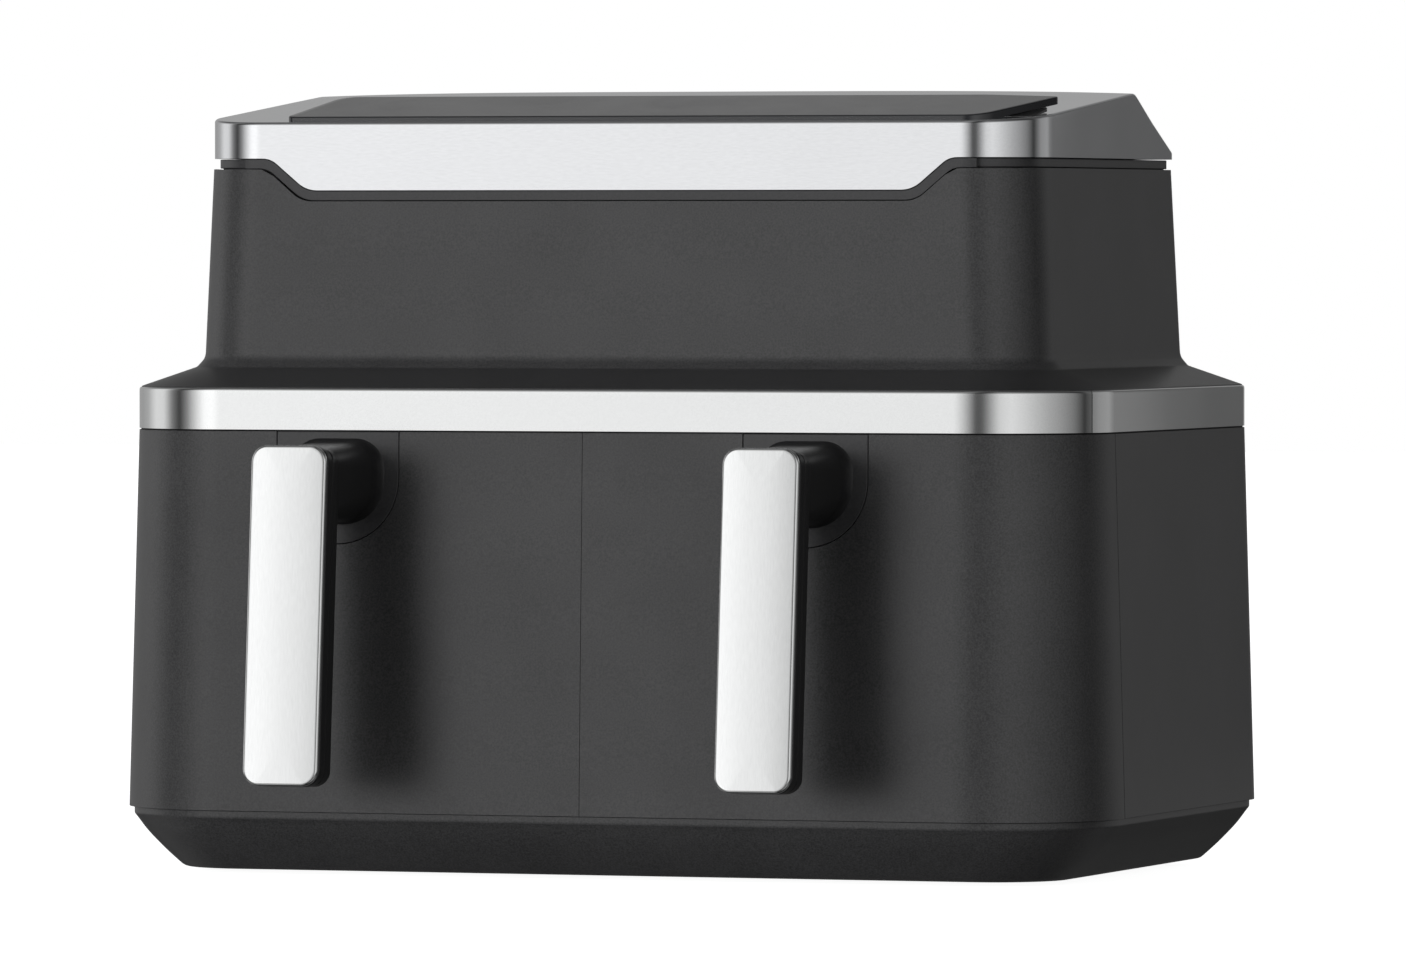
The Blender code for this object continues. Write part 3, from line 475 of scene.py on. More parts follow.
def lower_housing():
    """Sides and back in one U: the drafted wall from seam to seam, given its thickness inwards."""
    start = (SEAM_Y + GAP + 0.0740) / (0.0970 + 0.0740)
    side = spread(start, 2, 0.03, 12, 0.97, 2, 1.0)
    rule = joined(stretch(1, 2, side[:-1]), bend(2, ARC), stretch(2, 3, SIDE), bend(3, ARC),
                  stretch(3, 0, 1 - side[::-1][1:]))
    z = spread(Z_BAND - GAP, 1, Z_BAND - 0.0012, 12, Z_SHELL + 0.0012, 1, Z_SHELL + 0.0001)
    grid = carried(rule, BODY, np.stack([wall_offset(z), z], axis=1))
    piece("lower_housing_shell", [(grid, False, False)], CHARCOAL, "casing", ["lower_housing"],
          thick=WALL, bevel=0.0002)


def band():
    """Silver band in two strips: a flat face with an eased upper corner, carried along the outline.
    The strips meet a third of the way round the front corners."""
    profile = eased([(0.0, Z_BAND + GAP, 0.0), (0.0, Z_BAND_TOP, 0.0015),
                     (-0.0022, Z_BAND_TOP, 0.0)], 6)
    meet = 21 / 90
    slit = 0.003
    near = joined(bend(0, spread(meet + slit, 20, 1.0)), stretch(0, 1, SIDE),
                  bend(1, spread(0.0, 20, 1 - meet - slit)))
    far = joined(bend(1, spread(1 - meet + slit, 6, 1.0)), stretch(1, 2, SIDE), bend(2, ARC),
                 stretch(2, 3, SIDE), bend(3, ARC), stretch(3, 0, SIDE),
                 bend(0, spread(0.0, 6, meet - slit)))
    for name, rule in (("band_front", near), ("band_rear", far)):
        piece(name + "_strip", [(carried(rule, BODY, profile), False, False)], SILVER, "casing",
              [name], thick=0.0013, bevel=0.0002)


# ------------------------------------------------------------------ upper housing and cap


def upper_housing():
    """Shoulder and upright wall in one sheet. Sizes of the outline run linearly from one height to
    the next, corners eased; the top edge follows the drop of the cap along the front. The cells
    behind the rear grille are left open."""
    def key(size, offset, z, ease):
        return (*np.array(plan(size, offset), float), z, ease)

    keys = [key(BODY, -0.0009, Z_BAND_TOP - 0.0004, 0.0),
            key(BODY, -0.0009, Z_BAND_TOP + 0.0003, 0.0005),
            key(NECK, 0.0005, 0.1968, 0.0012), key(FOOT, 0.0, Z_FOOT + 0.0010, 0.0024),
            key(TOP, 0.0, Z_UPPER_TOP, 0.0)]
    rows = eased(keys, 8)[:-1]
    back = spread(-0.0700, 16, 0.0700)
    share = np.sort(np.concatenate([SIDE[:5], 0.5 - back / 0.3230, SIDE[-5:]]))
    front = spread(0.0, 1, 0.006, 2, 0.04, 40, 0.16, 10, 0.84, 40, 0.96, 2, 0.994, 1, 1.0)[1:-1]
    rule = joined(bend(0, ARC), stretch(0, 1, front), bend(1, ARC), stretch(1, 2, SIDE),
                  bend(2, ARC), stretch(2, 3, share), bend(3, ARC), stretch(3, 0, SIDE))
    sizes = [rows[:, i:i + 1] for i in range(5)]
    lower_x, lower_y = outline(rule, *sizes)
    lower = np.stack([lower_x, lower_y, np.broadcast_to(rows[:, 5:6], lower_x.shape)], axis=-1)
    edge_x, edge_y = outline(rule, *[np.array([[v]]) for v in TOP])
    line = np.minimum(Z_UPPER_TOP, skirt(edge_x[0], APRON + GAP))
    edge = np.where(edge_y[0] < -0.085, line, Z_UPPER_TOP)
    start = rows[-1, 5]
    heights = np.array([0.2080, 0.2180, 0.2340, 0.2500])
    low = np.broadcast_to(heights[:, None], (4, len(edge)))
    rest = 0.2500 + (edge - 0.2500) * spread(0.0, 4, 0.93, 1, 1.0)[1:, None]
    z = np.concatenate([low, rest])
    climb = (z - start) / (Z_UPPER_TOP - start)
    sizes = [rows[-1, i] + (TOP[i] - rows[-1, i]) * climb for i in range(5)]
    upper_x, upper_y = outline(rule, *sizes)
    grid = np.concatenate([lower, np.stack([upper_x, upper_y, z], axis=-1)])
    middle = (grid + np.roll(grid, -1, axis=1))[:-1] / 2
    centre = (middle + (grid[1:] + np.roll(grid[1:], -1, axis=1)) / 2) / 2
    vent = (centre[..., 1] > 0.09) & (np.abs(centre[..., 0]) < 0.0698)
    vent &= (centre[..., 2] > 0.2185) & (centre[..., 2] < 0.2495)
    piece("upper_housing_shell", [(grid, False, True, ~vent)], CHARCOAL, "casing",
          ["upper_housing"], thick=WALL, bevel=0.0003)


def reveal_ring():
    """Recessed ring below the cap, which leaves the shadow line; its foot steps in and reaches down
    inside the housing. A second ring closes the slit under the silver band from inside; it takes the
    darker black, as painted shade in the slit."""
    profile = eased([(-0.0022, Z_UPPER_TOP + GAP, 0.0003), (-0.0022, Z_CAP - GAP, 0.0003),
                     (-0.0050, Z_CAP - GAP, 0.0003), (-0.0050, 0.2700, 0.0003),
                     (-0.0034, 0.2700, 0.0003), (-0.0034, Z_UPPER_TOP + GAP, 0.0003)],
                    3, True, 0.0003)
    piece("reveal_ring_moulding", [(carried(AROUND, CAP, profile), True, True)], GREY_ABS, "casing",
          ["reveal_ring"])
    profile = np.array([(-0.0007, 0.17225), (-0.0007, 0.17275), (-0.0044, 0.17275),
                        (-0.0044, 0.1717), (-0.0030, 0.1717), (-0.0030, 0.17225)])
    piece("band_backing_ring", [(carried(AROUND, BODY, profile), True, True)], SHADE_BLACK, "casing")


def apron():
    """Dark strip under the front drop: a strip between the drop's line and the same line moved down,
    laid on the front and the start of its corners. A strip behind it closes the slit that is left
    between it and the housing, which would show the rear vent's slots; it takes the darker black, as
    painted shade in the slit."""
    x = spread(-APRON_HALF, 30, -0.118, 16, 0.118, 30, APRON_HALF)
    turn = np.clip(np.abs(x) - (CAP[0] - CAP[3]), 0, None)
    y = CAP[1] + CAP[3] - np.sqrt(CAP[3] ** 2 - turn ** 2) + 0.0002
    share = spread(0.0, 1, 0.12, 3, 0.88, 1, 1.0)[:, None]
    z = skirt(x, GAP) * (1 - share) + skirt(x, APRON) * share
    grid = np.stack([np.broadcast_to(x, z.shape), np.broadcast_to(y, z.shape), z], axis=-1)
    piece("apron_strip", [(grid, False, False)], GREY_ABS, "casing", ["apron_trim"], thick=0.0018,
          bevel=0.0002)
    inside = spread(-0.1345, 40, 0.1345)
    seam = skirt(inside, APRON)
    z = np.stack([np.minimum(seam + 0.0015, 0.2697), seam, seam - 0.0030])
    back = np.stack([np.broadcast_to(inside, z.shape), np.full(z.shape, CAP[1] + 0.0022), z], axis=-1)
    piece("apron_backing_strip", [(back, False, False)], SHADE_BLACK, "casing", thick=0.0008)


def cap_height(x, y):
    """Side profile of the cap: the lower of the deck's slope and the rear slope, blended over half a
    millimetre at the ridge, and crowned a little from side to side."""
    deck = Z_CAP_FRONT + (y - CAP[1]) * (Z_RIDGE - Z_CAP_FRONT) / (RIDGE_Y - CAP[1])
    rear = Z_CAP + 0.002 + (CAP[2] - y) * (Z_RIDGE - Z_CAP - 0.002) / (CAP[2] - RIDGE_Y)
    height = (deck + rear) / 2 - np.sqrt((deck - rear) ** 2 + 0.0007 ** 2) / 2
    share = np.clip((y - CAP[1]) / (RIDGE_Y - CAP[1]), 0, 1) * np.clip((CAP[2] - y) / 0.03, 0, 1)
    return height - 0.0015 * share * (x / CAP[0]) ** 4


def cap():
    """Deck as rows across the cap from front to back, as wide as the plan is there; its border
    then rolls over an edge arc and runs down to the lower line, which drops along the front."""
    ease = 0.0013
    half, front, back, r_front, r_back = [float(v) for v in plan(CAP, -ease)]
    turn = np.linspace(0, pi / 2, 28)
    small = np.linspace(0, pi / 2, 8)
    y = np.concatenate([front + r_front * (1 - np.cos(turn)),
                        spread(front + r_front, 26, RIDGE_Y - 0.004, 16, RIDGE_Y + 0.004, 14,
                               back - r_back)[1:-1],
                        back - r_back + r_back * np.sin(small)])
    near = np.clip(front + r_front - y, 0, r_front)
    far = np.clip(y - back + r_back, 0, r_back)
    width = half - (r_front - np.sqrt(r_front ** 2 - near ** 2))
    width -= r_back - np.sqrt(r_back ** 2 - far ** 2)
    side = np.concatenate([-spread(1.0, 1, 0.992, 2, 0.97, 60, 0.76, 12, 0.0),
                           spread(0.0, 12, 0.76, 60, 0.97, 2, 0.992, 1, 1.0)[1:]])
    x = side[None] * width[:, None]
    deck = np.stack([x, np.broadcast_to(y[:, None], x.shape), cap_height(x, y[:, None])], axis=-1)
    rim = np.concatenate([deck[0], deck[1:, -1], deck[-1, -2::-1], deck[-2:0:-1, 0]])
    tangent = np.roll(rim, -1, axis=0) - np.roll(rim, 1, axis=0)
    out = np.stack([tangent[:, 1], -tangent[:, 0], 0 * tangent[:, 0]], axis=1)
    out /= np.linalg.norm(out, axis=1)[:, None]
    edge = rim + out * ease
    low = np.where(edge[:, 1] < -0.06, skirt(edge[:, 0], 0.0), Z_CAP)
    roll = np.linspace(0, pi / 2, 6)[:, None, None]
    over = rim + out * ease * np.sin(roll)
    over[..., 2] -= ease * (1 - np.cos(roll[..., 0]))
    share = np.array([0.03, 0.12, 0.5, 0.88, 0.97, 1.0])[:, None]
    wall = np.broadcast_to(over[-1], (6, *rim.shape)).copy()
    wall[..., 2] = over[-1, :, 2] * (1 - share) + low * share
    piece("cap_shell", [(deck, False, False), (np.concatenate([over, wall]), False, True)],
          CAP_SILVER, "casing", ["top_cap"], thick=0.0011, bevel=0.0002, middle=(0, 0, 0.27),
          sharp=50)


PLINTH = [(-0.1372, -0.0905, 0.002), (0.1680, -0.0905, 0.023), (0.1680, -0.0560, 0.003),
          (0.1340, -0.0500, 0.020), (-0.1230, -0.0500, 0.006), (-0.1372, -0.0720, 0.004)]
PANE = [(-0.1365, -0.0880, 0.003), (0.1503, -0.0880, 0.013), (0.1715, -0.0505, 0.002),
        (0.1400, -0.0460, 0.050), (-0.1280, -0.0460, 0.009)]


def polygon(corners, inset=0.0, steps=14):
    """Closed outline with true arcs: at each corner the arc's centre sits on the bisector, and a
    guard point follows it. An inset moves the outline inwards along its own normals."""
    spots = []
    for i, (x, y, radius) in enumerate(corners):
        here = np.array([x, y])
        before = np.array(corners[i - 1][:2]) - here
        after = np.array(corners[(i + 1) % len(corners)][:2]) - here
        before, after = before / np.linalg.norm(before), after / np.linalg.norm(after)
        half = np.arccos(np.clip(before @ after, -1, 1)) / 2
        centre = here + (before + after) / np.linalg.norm(before + after) * radius / sin(half)
        spoke = here + before * radius / np.tan(half) - centre
        angle = np.linspace(0, pi - 2 * half, steps + 1)
        turned = np.stack([spoke[0] * np.cos(angle) - spoke[1] * np.sin(angle),
                           spoke[0] * np.sin(angle) + spoke[1] * np.cos(angle)], axis=1)
        spots.append(centre + turned * (1 - inset / radius))
    return np.concatenate(spots)


def slab(name, corners, low, high, ease, finish, nodes, middle):
    """A plate from an outline between two surfaces of height, its upper edge rolled over an arc."""
    rows = []
    angle = np.linspace(0, pi / 2, 5)
    for inset, drop in zip(ease * (1 - np.cos(angle)), ease * (1 - np.sin(angle))):
        ring = polygon(corners, inset)
        rows.append(np.column_stack([ring, high(ring[:, 1]) - drop]))
    outer = polygon(corners)
    bottom = np.column_stack([outer, low(outer[:, 1])])
    guard = bottom * 0.1 + rows[0] * 0.9
    grid = np.stack([bottom, guard] + rows)
    piece(name, [(grid, False, True), (lid(grid[0]), False, True), (lid(grid[-1]), False, True)],
          finish, "casing", nodes, middle=middle)


def control_panel():
    """Wedge plinth that rises from the deck, and the tilted pane that overhangs it."""
    def pane_top(y):
        return PANEL_Z + PANEL_TILT * (y - PANEL_Y)

    def deck(y):
        return cap_height(0.0, y) + 0.0001

    slab("control_plinth_wedge", PLINTH, lambda y: np.minimum(deck(y), pane_top(y) - GLASS - 0.001),
         lambda y: pane_top(y) - GLASS - GAP, 0.0003, BLACK, ["control_plinth"], (0, -0.07, 0.293))
    slab("control_pane", PANE, lambda y: pane_top(y) - GLASS, pane_top, 0.0005, PANEL,
         ["control_glass"], (0, -0.07, 0.2965))


# ------------------------------------------------------------------ drawers


def notch_line(count_low, x, half, low, z_side):
    """The escutcheon's U as points: straight down one side, round a half circle, and up again.
    z_side are the heights that the sides' points match with; below the circle's centre they go
    over to its first eighth of a turn on either side."""
    centre = low + half
    base = z_side[-1]
    share = np.clip((centre - z_side) / (centre - base), 0, 1)
    angle = pi + share * pi / 4
    left = np.stack([x + half * np.cos(angle), np.maximum(z_side, centre) + half * np.sin(angle)], 1)
    arc = np.linspace(pi * 1.25, pi * 1.75, count_low + 2)[1:-1]
    under = np.stack([x + half * np.cos(arc), centre + half * np.sin(arc)], axis=1)
    right = left[::-1] * [-1, 1] + [2 * x, 0]
    return np.concatenate([left, under, right])


def on_front(x, z, depth=0.0):
    """A point of the front face at (x, z), moved inwards by depth."""
    return np.stack([x, BODY[1] - wall_offset(z) + depth, z], axis=-1)


def drawer_front(side, sign):
    """Outer face in three parts that share their heights: a strip up to the handle, a patch that
    runs from the escutcheon's U out to a rectangle, and the rest of the face with its corner."""
    x = HANDLE_X[side] * sign
    top, low = Z_BAND - GAP, Z_SHELL + 0.0001
    centre = Z_TAB - 0.0002 + TAB_HALF
    z = spread(top, 1, top - 0.0012, 5, centre, 12, low + 0.0012, 1, low)
    reach = 0.0340
    lows = np.linspace(x - reach, x + reach, 18)[1:-1]
    u = notch_line(len(lows), x, TAB_HALF + NOTCH, Z_TAB - NOTCH, z)
    frame_line = np.concatenate([np.stack([np.full(len(z), x - reach), z], axis=1),
                                 np.stack([lows, np.full(len(lows), low)], axis=1),
                                 np.stack([np.full(len(z), x + reach), z[::-1]], axis=1)])
    share = spread(0.0, 1, 0.03, 1, 0.12, 7, 1.0)[:, None, None]
    patch = u * (1 - share) + frame_line * share
    span = BODY[0] - BODY[3]
    inner = (spread(0.00006, 1, 0.0012, 6, x - reach) + span) / (2 * span)
    outer = (spread(x + reach, 6, span - 0.0015, 1, span) + span) / (2 * span)
    seam = (SEAM_Y - GAP + 0.0740) / (0.0970 + 0.0740)
    profile = np.stack([wall_offset(z), z], axis=1)
    grids = [carried(stretch(0, 1, inner), BODY, profile), on_front(patch[..., 0], patch[..., 1]),
             carried(joined(stretch(0, 1, outer[:-1]), bend(1, ARC),
                            stretch(1, 2, np.array([seam * 0.5, seam]))), BODY, profile)]
    mirror = np.array([sign, 1, 1])
    piece(f"drawer_front_{side}_panel", [(g * mirror, False, False) for g in grids], CHARCOAL,
          f"drawer_{side}", [f"drawer_front_{side}"], thick=WALL, bevel=0.0001)
    # The boss behind the front takes the darker black: painted shade, as it sits in the dark behind the
    # front.
    boss = HANDLE_X[side]
    block = eased([(boss - 0.031, 0.1215, 0.002), (boss + 0.031, 0.1215, 0.002),
                   (boss + 0.031, 0.1712, 0.002), (boss - 0.031, 0.1712, 0.002)], 4, True)
    depth = spread(-0.1205, 1, -0.1200, 2, -0.1105, 1, -0.1100)[:, None]
    rows = np.stack([np.repeat(block[None, :, 0], len(depth), axis=0),
                     np.repeat(depth, len(block), axis=1),
                     np.repeat(block[None, :, 1], len(depth), axis=0)], axis=-1)
    piece(f"drawer_boss_{side}", [(rows, False, True), (lid(rows[0]), False, True),
                                  (lid(rows[-1]), False, True)], SHADE_BLACK, f"drawer_{side}",
          middle=(boss, -0.115, 0.146))


def superloop(x, half, low, high, r_top, r_low, steps=10):
    """Rounded outline in the (x, z) plane whose upper and lower corners have their own radii.
    All sizes may be columns, one row for each section."""
    angle = np.linspace(0, pi / 2, steps)
    parts = []
    for sx, sz, start, radius in ((-1, -1, pi, r_low), (1, -1, 1.5 * pi, r_low),
                                  (1, 1, 0.0, r_top), (-1, 1, pi / 2, r_top)):
        cz = (low + radius) if sz < 0 else (high - radius)
        parts.append(np.stack([x + sx * (half - radius) + radius * np.cos(start + angle),
                               cz + radius * np.sin(start + angle)], axis=-1))
    return np.concatenate(parts, axis=-2)


def grip_layer(name, side, front, back, inset, ease, finish, crown=0.0):
    """A layer of the grip: its rounded outline carried back in depth with both edges rolled, and
    closed by faces that draw in to the middle line. The front one is bowed: its depth grows with
    the square of the distance from that line."""
    x = HANDLE_X[side]
    half, length, radius = [v - inset for v in GRIP]
    angle = np.linspace(0, pi / 2, 5)
    rows = [(ease * (1 - s), front + ease * (1 - c)) for s, c in zip(np.sin(angle), np.cos(angle))]
    rows += [(0.0, front + ease + 0.0002), (0.0, back - ease - 0.0002)]
    rows += [(ease * (1 - c), back - ease * (1 - s)) for s, c in zip(np.sin(angle), np.cos(angle))]
    grid = []
    for cut, depth in rows:
        r = radius - cut
        loop = superloop(0.0, half - cut, -length + cut, length - cut, r, r, 9)
        bow = crown * (loop[:, 0] / half) ** 2 if depth < (front + back) / 2 else 0 * loop[:, 0]
        grid.append(tilted(x, loop[:, 0], depth + bow, loop[:, 1]))
    grid = np.stack(grid)
    first = superloop(0.0, half - ease, -length + ease, length - ease, radius - ease, radius - ease, 9)
    share = spread(0.0, 1, 0.04, 10, 1.0)[:, None]
    u = first[None, :, 0] * (1 - share)
    spine = np.clip(first[None, :, 1], -length + half, length - half)
    v = first[None, :, 1] * (1 - share) + spine * share
    face = tilted(x, u, front + crown * (u / half) ** 2, v)
    rear = tilted(x, u, np.full(u.shape, back), v)
    return piece(name, [(grid, False, True), (face, False, True), (rear, False, True)], finish,
                 f"drawer_{side}", middle=(x, HANDLE_Y + 0.008, HANDLE_Z))


def tilted(x, u, depth, v):
    """A point of the leaning grip: u across, v along it and depth behind its face, turned about x
    so that the upper end leans back."""
    c, s = cos(HANDLE_TILT), sin(HANDLE_TILT)
    return np.stack([x + u, HANDLE_Y + depth * c + v * s, HANDLE_Z + v * c - depth * s], axis=-1)


def handle(side):
    """Escutcheon in the front's U, the neck that flares out of it, and the layered grip."""
    x = HANDLE_X[side]
    body = f"drawer_{side}"
    top = Z_BAND - GAP
    half = TAB_HALF - TAB_SHRINK
    z = spread(top, 1, top - 0.001, 6, Z_TAB + TAB_SHRINK + half, 10, Z_TAB - 0.02)
    u = notch_line(22, x, half, Z_TAB + TAB_SHRINK, z)
    spine = np.stack([np.full(len(u), x), np.maximum(u[:, 1], Z_TAB + half)], axis=1)
    spine[u[:, 1] < Z_TAB + half, 1] = Z_TAB + half
    share = spread(0.0, 1, 0.04, 3, 1.0)[:, None, None]
    face = u * (1 - share) + spine * share
    piece(f"escutcheon_{side}", [(on_front(face[..., 0], face[..., 1]), False, False)], GREY_ABS,
          body, [f"handle_arm_{side}"], thick=0.0028, bevel=0.0003)
    keys = [(-0.1204, 0.0226, 0.1328, 0.1708, 0.013, 0.019, 0.0),
            (-0.1228, 0.0190, 0.1361, 0.1691, 0.012, 0.016, 0.0016),
            (-0.1262, 0.0168, 0.1373, 0.1681, 0.010, 0.014, 0.0030),
            (-0.1450, 0.0151, 0.1376, 0.1672, 0.008, 0.010, 0.012),
            (-0.1640, 0.0141, 0.1376, 0.1660, 0.006, 0.006, 0.0)]
    rows = eased(keys, 7)
    y, w, low, high, r_top, r_low = [rows[:, i:i + 1] for i in range(6)]
    loop = superloop(x, w, low, high, r_top, r_low)
    neck = np.stack([loop[..., 0], np.repeat(y, loop.shape[1], axis=1), loop[..., 1]], axis=-1)
    piece(f"handle_neck_{side}", [(neck, False, True), (lid(neck[0]), False, True),
                                  (lid(neck[-1]), False, True)], BLACK, body,
          [f"handle_arm_{side}"], middle=(x, -0.143, 0.152))
    rear = grip_layer(f"handle_back_{side}", side, 0.0086, 0.0177, 0.0004, 0.0026, BLACK)
    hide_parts(f"handle_arm_{side}")
    core = grip_layer(f"handle_core_{side}", side, 0.0033, 0.0083, 0.0, 0.0006, BLACK)
    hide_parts(f"handle_grip_{side}")
    trim = grip_layer(f"handle_plate_{side}", side, 0.0, 0.0030, 0.0, 0.0010, TRIM, 0.0005)
    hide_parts(f"handle_trim_{side}")


def basket(side, sign):
    """Deep-drawn pan with a rolled rim: outside up, over the rim, inside down to the floor."""
    keys = [(-0.0230, 0.0310, 0.0), (-0.0140, 0.0310, 0.003), (-0.0052, 0.0360, 0.005),
            (-0.0016, 0.1368, 0.001), (0.0, 0.1378, 0.0008), (0.0, 0.1400, 0.0010),
            (-0.0032, 0.1400, 0.0012), (-0.0066, 0.0410, 0.005), (-0.0150, 0.0332, 0.004),
            (-0.0240, 0.0332, 0.0)]
    wall = carried(AROUND, POT, eased(keys, 6, guard=0.0004), sign * POT_X)
    piece(f"basket_{side}_pan", [(wall, False, True), (lid(wall[0]), False, True),
                                 (lid(wall[-1]), False, True)], COATING, f"drawer_{side}",
          [f"basket_{side}"], middle=(sign * POT_X, -0.0055, 0.035))


def slot_cells(x0, z0, columns, rows, pitch_x, pitch_y, slot_x, slot_y, nx, ny):
    """Patches of a perforated sheet, one a cell: each runs from the slot's rounded outline out to
    the cell's rectangle, with nx and ny steps along the rectangle's sides."""
    sx = np.concatenate([np.linspace(-1, 1, nx + 1)[:-1], np.ones(ny), np.linspace(1, -1, nx + 1)[:-1],
                         -np.ones(ny)])
    sy = np.concatenate([-np.ones(nx), np.linspace(-1, 1, ny + 1)[:-1], np.ones(nx),
                         np.linspace(1, -1, ny + 1)[:-1]])
    radius = min(slot_x, slot_y)
    corner = np.stack([sx * slot_x, sy * slot_y], axis=1)
    straight = np.array([slot_x - radius, slot_y - radius])
    core = np.clip(corner, -straight, straight)
    inner = core + radius * (corner - core) / np.linalg.norm(corner - core, axis=1)[:, None]
    outer = np.stack([sx * pitch_x / 2, sy * pitch_y / 2], axis=1)
    share = np.array([0.0, 0.15, 0.5, 1.0])[:, None, None]
    cell = inner * (1 - share) + outer * share
    return [cell + [x0 + (c - (columns - 1) / 2) * pitch_x, z0 + (r - (rows - 1) / 2) * pitch_y]
            for c in range(columns) for r in range(rows)]


def crisper(side, sign):
    """Perforated tray with rounded slots; outside the cells a border runs to the rounded edge."""
    x, y, z = sign * POT_X, -0.0055, 0.0455
    cells = slot_cells(x, y, 3, 6, 0.0420, 0.0240, 0.0150, 0.0035, 6, 4)
    grids = [(np.dstack([c, np.full(c.shape[:2], z)]), False, True) for c in cells]
    side_shares = np.linspace(0, 1, 25)
    front_shares = np.linspace(0, 1, 19)
    rule = joined(stretch(0, 1, front_shares), bend(1, ARC[4:-4:4]), stretch(1, 2, side_shares),
                  bend(2, ARC[4:-4:4]), stretch(2, 3, front_shares), bend(3, ARC[4:-4:4]),
                  stretch(3, 0, side_shares), bend(0, ARC[4:-4:4]))
    inner = np.stack(outline(rule, 0.0630, y - 0.0720, y + 0.0720, 1e-6, 1e-6), axis=-1)
    outer = np.stack(outline(rule, *plan(POT, -0.0112)), axis=-1)
    share = np.linspace(0, 1, 5)[:, None, None]
    border = inner * (1 - share) + outer * share + [x, 0]
    grids.append((np.dstack([border, np.full(border.shape[:2], z)]), False, True))
    piece(f"crisper_tray_{side}", grids, COATING, f"crisper_{side}", [f"crisper_plate_{side}"],
          thick=0.0015, bevel=0.0003, middle=(x, y, 0.0))


# ------------------------------------------------------------------ back of the object


def rear_grille():
    """Louvred vent panel: slots with round ends in a leaning plate, and a raised rim round it."""
    cells = slot_cells(0.0, 0.2340, 20, 1, 0.0068, 0.0300, 0.0017, 0.0115, 4, 10)
    lean = (TOP[2] - FOOT[2]) / (Z_UPPER_TOP - Z_FOOT)

    def back(z, proud):
        return FOOT[2] + lean * (z - Z_FOOT) + proud

    grids = [(np.stack([c[..., 0], back(c[..., 1], 0.0006), c[..., 1]], axis=-1), False, True)
             for c in cells]
    piece("rear_grille_louvres", grids, BLACK, "casing", ["rear_vent_grille"], thick=0.0018,
          bevel=0.0003, middle=(0, 0, 0.234))
    loop = superloop(0.0, 0.0712, 0.2172, 0.2508, 0.0030, 0.0030, 8)
    inner = superloop(0.0, 0.0680, 0.2190, 0.2490, 0.0012, 0.0012, 8)
    rows = []
    for shape, proud in ((loop, 0.0), (loop, 0.0008), (inner * 0.3 + loop * 0.7, 0.0012),
                         (inner, 0.0012), (inner, 0.0002)):
        rows.append(np.stack([shape[:, 0], back(shape[:, 1], proud), shape[:, 1]], axis=-1))
    piece("rear_grille_rim", [(np.stack(rows), True, True)], BLACK, "casing",
          middle=(0, 0.103, 0.234), bevel=0.0002)


def gland():
    """Cord gland: a flanged bush turned about y, with a rounded collar and a bored stem."""
    profile = eased([(0.0040, 0.1130, 0.0004), (0.0068, 0.1130, 0.0006), (0.0068, 0.1231, 0.0003),
                     (0.0110, 0.1231, 0.0003), (0.0110, 0.1246, 0.0012), (0.0072, 0.1262, 0.0010),
                     (0.0040, 0.1262, 0.0008)], 4, True, 0.0002)
    across, up, y = lathe(profile, 48)
    grid = np.stack([GLAND_X + across, y, GLAND_Z + up], axis=-1)
    piece("cord_gland_bush", [(grid, True, True)], BLACK, "casing", ["cord_gland"],
          middle=(GLAND_X, 0.119, GLAND_Z))


# ------------------------------------------------------------------ studio

VIEW = radians(19.39)                    # the camera stands this far to the right of the front


def glow(shader, level):
    """Lets a surface of the studio shine white by itself."""
    shader.inputs["Emission Color"].default_value = (1.0, 1.0, 1.0, 1.0)
    shader.inputs["Emission Strength"].default_value = level


def sheet(name, points, finish):
    """A flat sheet that belongs to the studio and not to the object."""
    mesh = bpy.data.meshes.new(name)
    rows, columns = points.shape[:2]
    quads = faces_of(rows, columns, False, False)
    mesh.from_pydata(points.reshape(-1, 3).tolist(), [], quads.tolist())
    mesh.materials.append(finish)
    made = placed(name, mesh)
    return made


def soft_sun(name, azimuth, height, strength, width):
    """Broad distant light that leaves no reflection of itself: azimuth is turned to the right from
    the front, height is degrees above the floor and width the degrees that the source spans."""
    light = bpy.data.lights.new(name, "SUN")
    light.energy = strength
    light.angle = radians(width)
    made = placed(name, light)
    level = cos(radians(height))
    towards = Vector((level * sin(azimuth), -level * cos(azimuth), sin(radians(height))))
    made.rotation_euler = towards.to_track_quat("Z", "Y").to_euler()
    made.visible_glossy = False


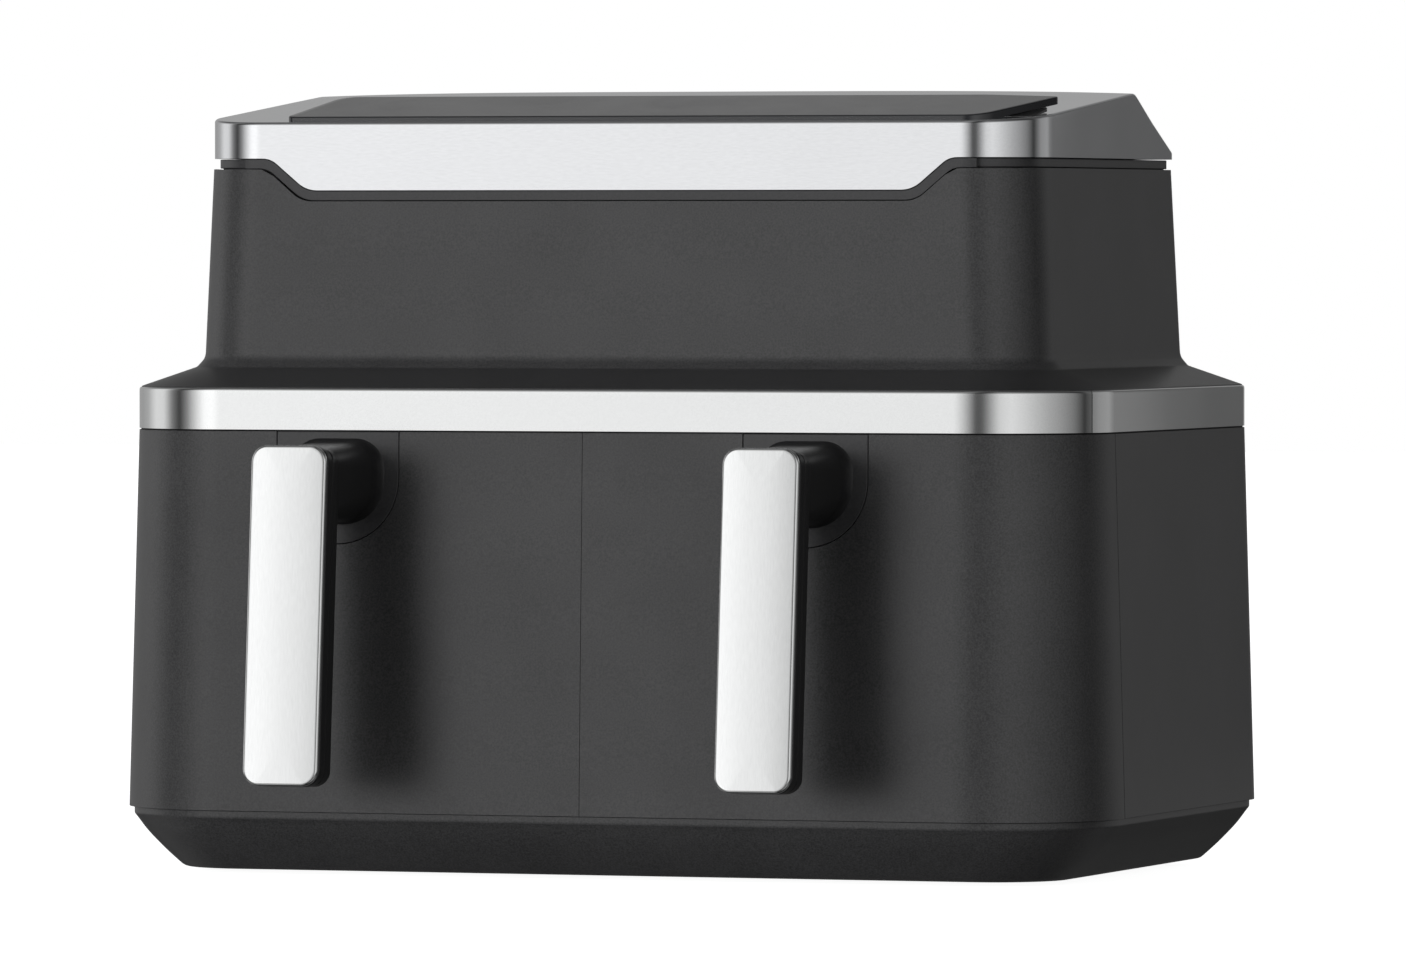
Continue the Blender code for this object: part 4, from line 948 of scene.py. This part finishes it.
def studio():
    """Floor, a grey flag behind, a soft key light and rear fill, the camera, and the studio's walls:
    a long soft box to the left, a dimmer one to the right, dark gaps between them, and white where
    the camera looks past the object."""
    made, tree, shader, place = blank("painted_studio_floor")
    haze = node(tree, "TexNoise", {"Scale": 3.0}, {"Vector": place})
    colour = node(tree, "ValToRGB", {"stops": [(0.3, tint("#f4f4f4")), (0.7, tint("#f6f6f6"))]},
                  {"Fac": haze.outputs[0]})
    tree.links.new(colour.outputs[0], shader.inputs["Base Color"])
    shader.inputs["Roughness"].default_value = 0.9
    shader.inputs["Specular IOR Level"].default_value = 0.0
    glow(shader, 0.94)
    reach = np.linspace(-9.0, 9.0, 7)
    gx, gy = np.meshgrid(reach, reach)
    ground = sheet("studio_floor", np.stack([gx, gy, 0 * gx], axis=-1), made)
    ground.visible_diffuse = False
    ground.visible_glossy = False

    grey, tree, shader, place = blank("grey_studio_flag")
    shader.inputs["Base Color"].default_value = tint("#050505")
    glow(shader, 0.09)
    fx, fz = np.meshgrid(np.linspace(0.27, 0.395, 3), np.linspace(0.02, 0.80, 5))
    sheet("studio_flag", np.stack([fx, 0 * fx + 0.63, fz], axis=-1), grey).visible_camera = False

    soft_sun("key_light", VIEW - radians(43), 3, 1.38, 18)
    soft_sun("rear_fill", VIEW + radians(165), 12, 1.2, 30)

    camera = bpy.data.cameras.new("camera")
    camera.sensor_width = 36.0
    camera.lens = 314.28
    camera.clip_start = 0.1
    camera.clip_end = 60.0
    stand = placed("camera", camera)
    stand.location = Vector(np.array([1.6134, -4.5844, 0.24884]) + PLACE)
    aim = Vector((-sin(VIEW), cos(VIEW), -0.020638)) + 0.0013066 * Vector((cos(VIEW), sin(VIEW), 0))
    stand.rotation_euler = aim.to_track_quat("-Z", "Y").to_euler()
    bpy.context.scene.camera = stand
    bpy.context.scene.view_settings.view_transform = "Standard"

    world = bpy.data.worlds.new("studio")
    bpy.context.scene.world = world
    world.use_nodes = True
    tree = world.node_tree
    tree.nodes.clear()
    way = node(tree, "TexCoord").outputs["Generated"]
    turned = node(tree, "Mapping", {"Rotation": (0.0, 0.0, pi / 2 - VIEW)}, {"Vector": way})
    round_about = node(tree, "TexGradient", {"gradient_type": "RADIAL"},
                       {"Vector": turned.outputs[0]})
    stops = [(angle / 360 + 0.5, level) for angle, level in SOFTBOXES]
    ring = node(tree, "ValToRGB", {"stops": stops}, {"Fac": round_about.outputs["Fac"]})
    split = node(tree, "SeparateXYZ", {}, {"Vector": way})
    height = node(tree, "MapRange", {1: -1.0, 2: 1.0, 3: 0.0, 4: 1.0}, {0: split.outputs[2]})
    rise = node(tree, "ValToRGB", {"stops": [(z / 2 + 0.5, level) for z, level in HEIGHTS]},
                {"Fac": height.outputs[0]})
    mixed = node(tree, "Mix", {"data_type": "RGBA", "blend_type": "MULTIPLY", 0: 1.0},
                 {6: ring.outputs[0], 7: rise.outputs[0]})
    seen = node(tree, "LightPath").outputs["Is Camera Ray"]
    lit = node(tree, "Background", {"Strength": 1.0}, {"Color": mixed.outputs[2]})
    white = node(tree, "Background", {"Strength": 1.0, "Color": (1.0, 1.0, 1.0, 1.0)})
    both = node(tree, "MixShader", {}, {0: seen, 1: lit.outputs[0], 2: white.outputs[0]})
    node(tree, "OutputWorld", {}, {"Surface": both.outputs[0]})


# brightness round the object: degrees from the camera's side, positive to its right
SOFTBOXES = [(-180, 0.37), (-150, 0.34), (-133, 0.42), (-117, 0.76), (-104, 0.74), (-92, 0.20),
             (-82, 0.03), (-73, 0.24), (-63, 0.70), (-54, 1.12), (-46, 1.18), (-41, 0.98),
             (-36, 0.88), (-31, 0.62), (-25, 0.36), (-19, 0.08), (-13, 0.10), (-8, 0.26), (3, 0.70),
             (14, 0.80), (26, 0.68), (38, 0.54), (50, 0.42), (63, 0.32), (77, 0.20), (91, 0.03),
             (110, 0.28), (131, 0.33), (141, 0.22), (160, 0.26), (180, 0.37)]
# share of that brightness by height, from straight down (-1) to straight up (1)
HEIGHTS = [(-1.0, 0.04), (-0.84, 0.06), (-0.64, 0.38), (-0.44, 0.42), (-0.32, 0.12),
           (-0.20, 0.30), (-0.10, 0.95), (0.0, 1.0), (0.26, 1.0), (0.42, 0.60), (0.60, 0.26),
           (1.0, 0.24)]


def main():
    finish_cad_nodes()
    base_tray()
    for end, y in (("front", -0.060), ("rear", 0.075)):
        for side, sign in SIDES.items():
            foot(f"foot_{end}_{side}", sign * 0.140, y)
    lower_housing()
    band()
    upper_housing()
    reveal_ring()
    apron()
    cap()
    control_panel()
    for side, sign in SIDES.items():
        drawer_front(side, sign)
        handle(side)
        basket(side, sign)
        crisper(side, sign)
    rear_grille()
    gland()
    studio()


main()
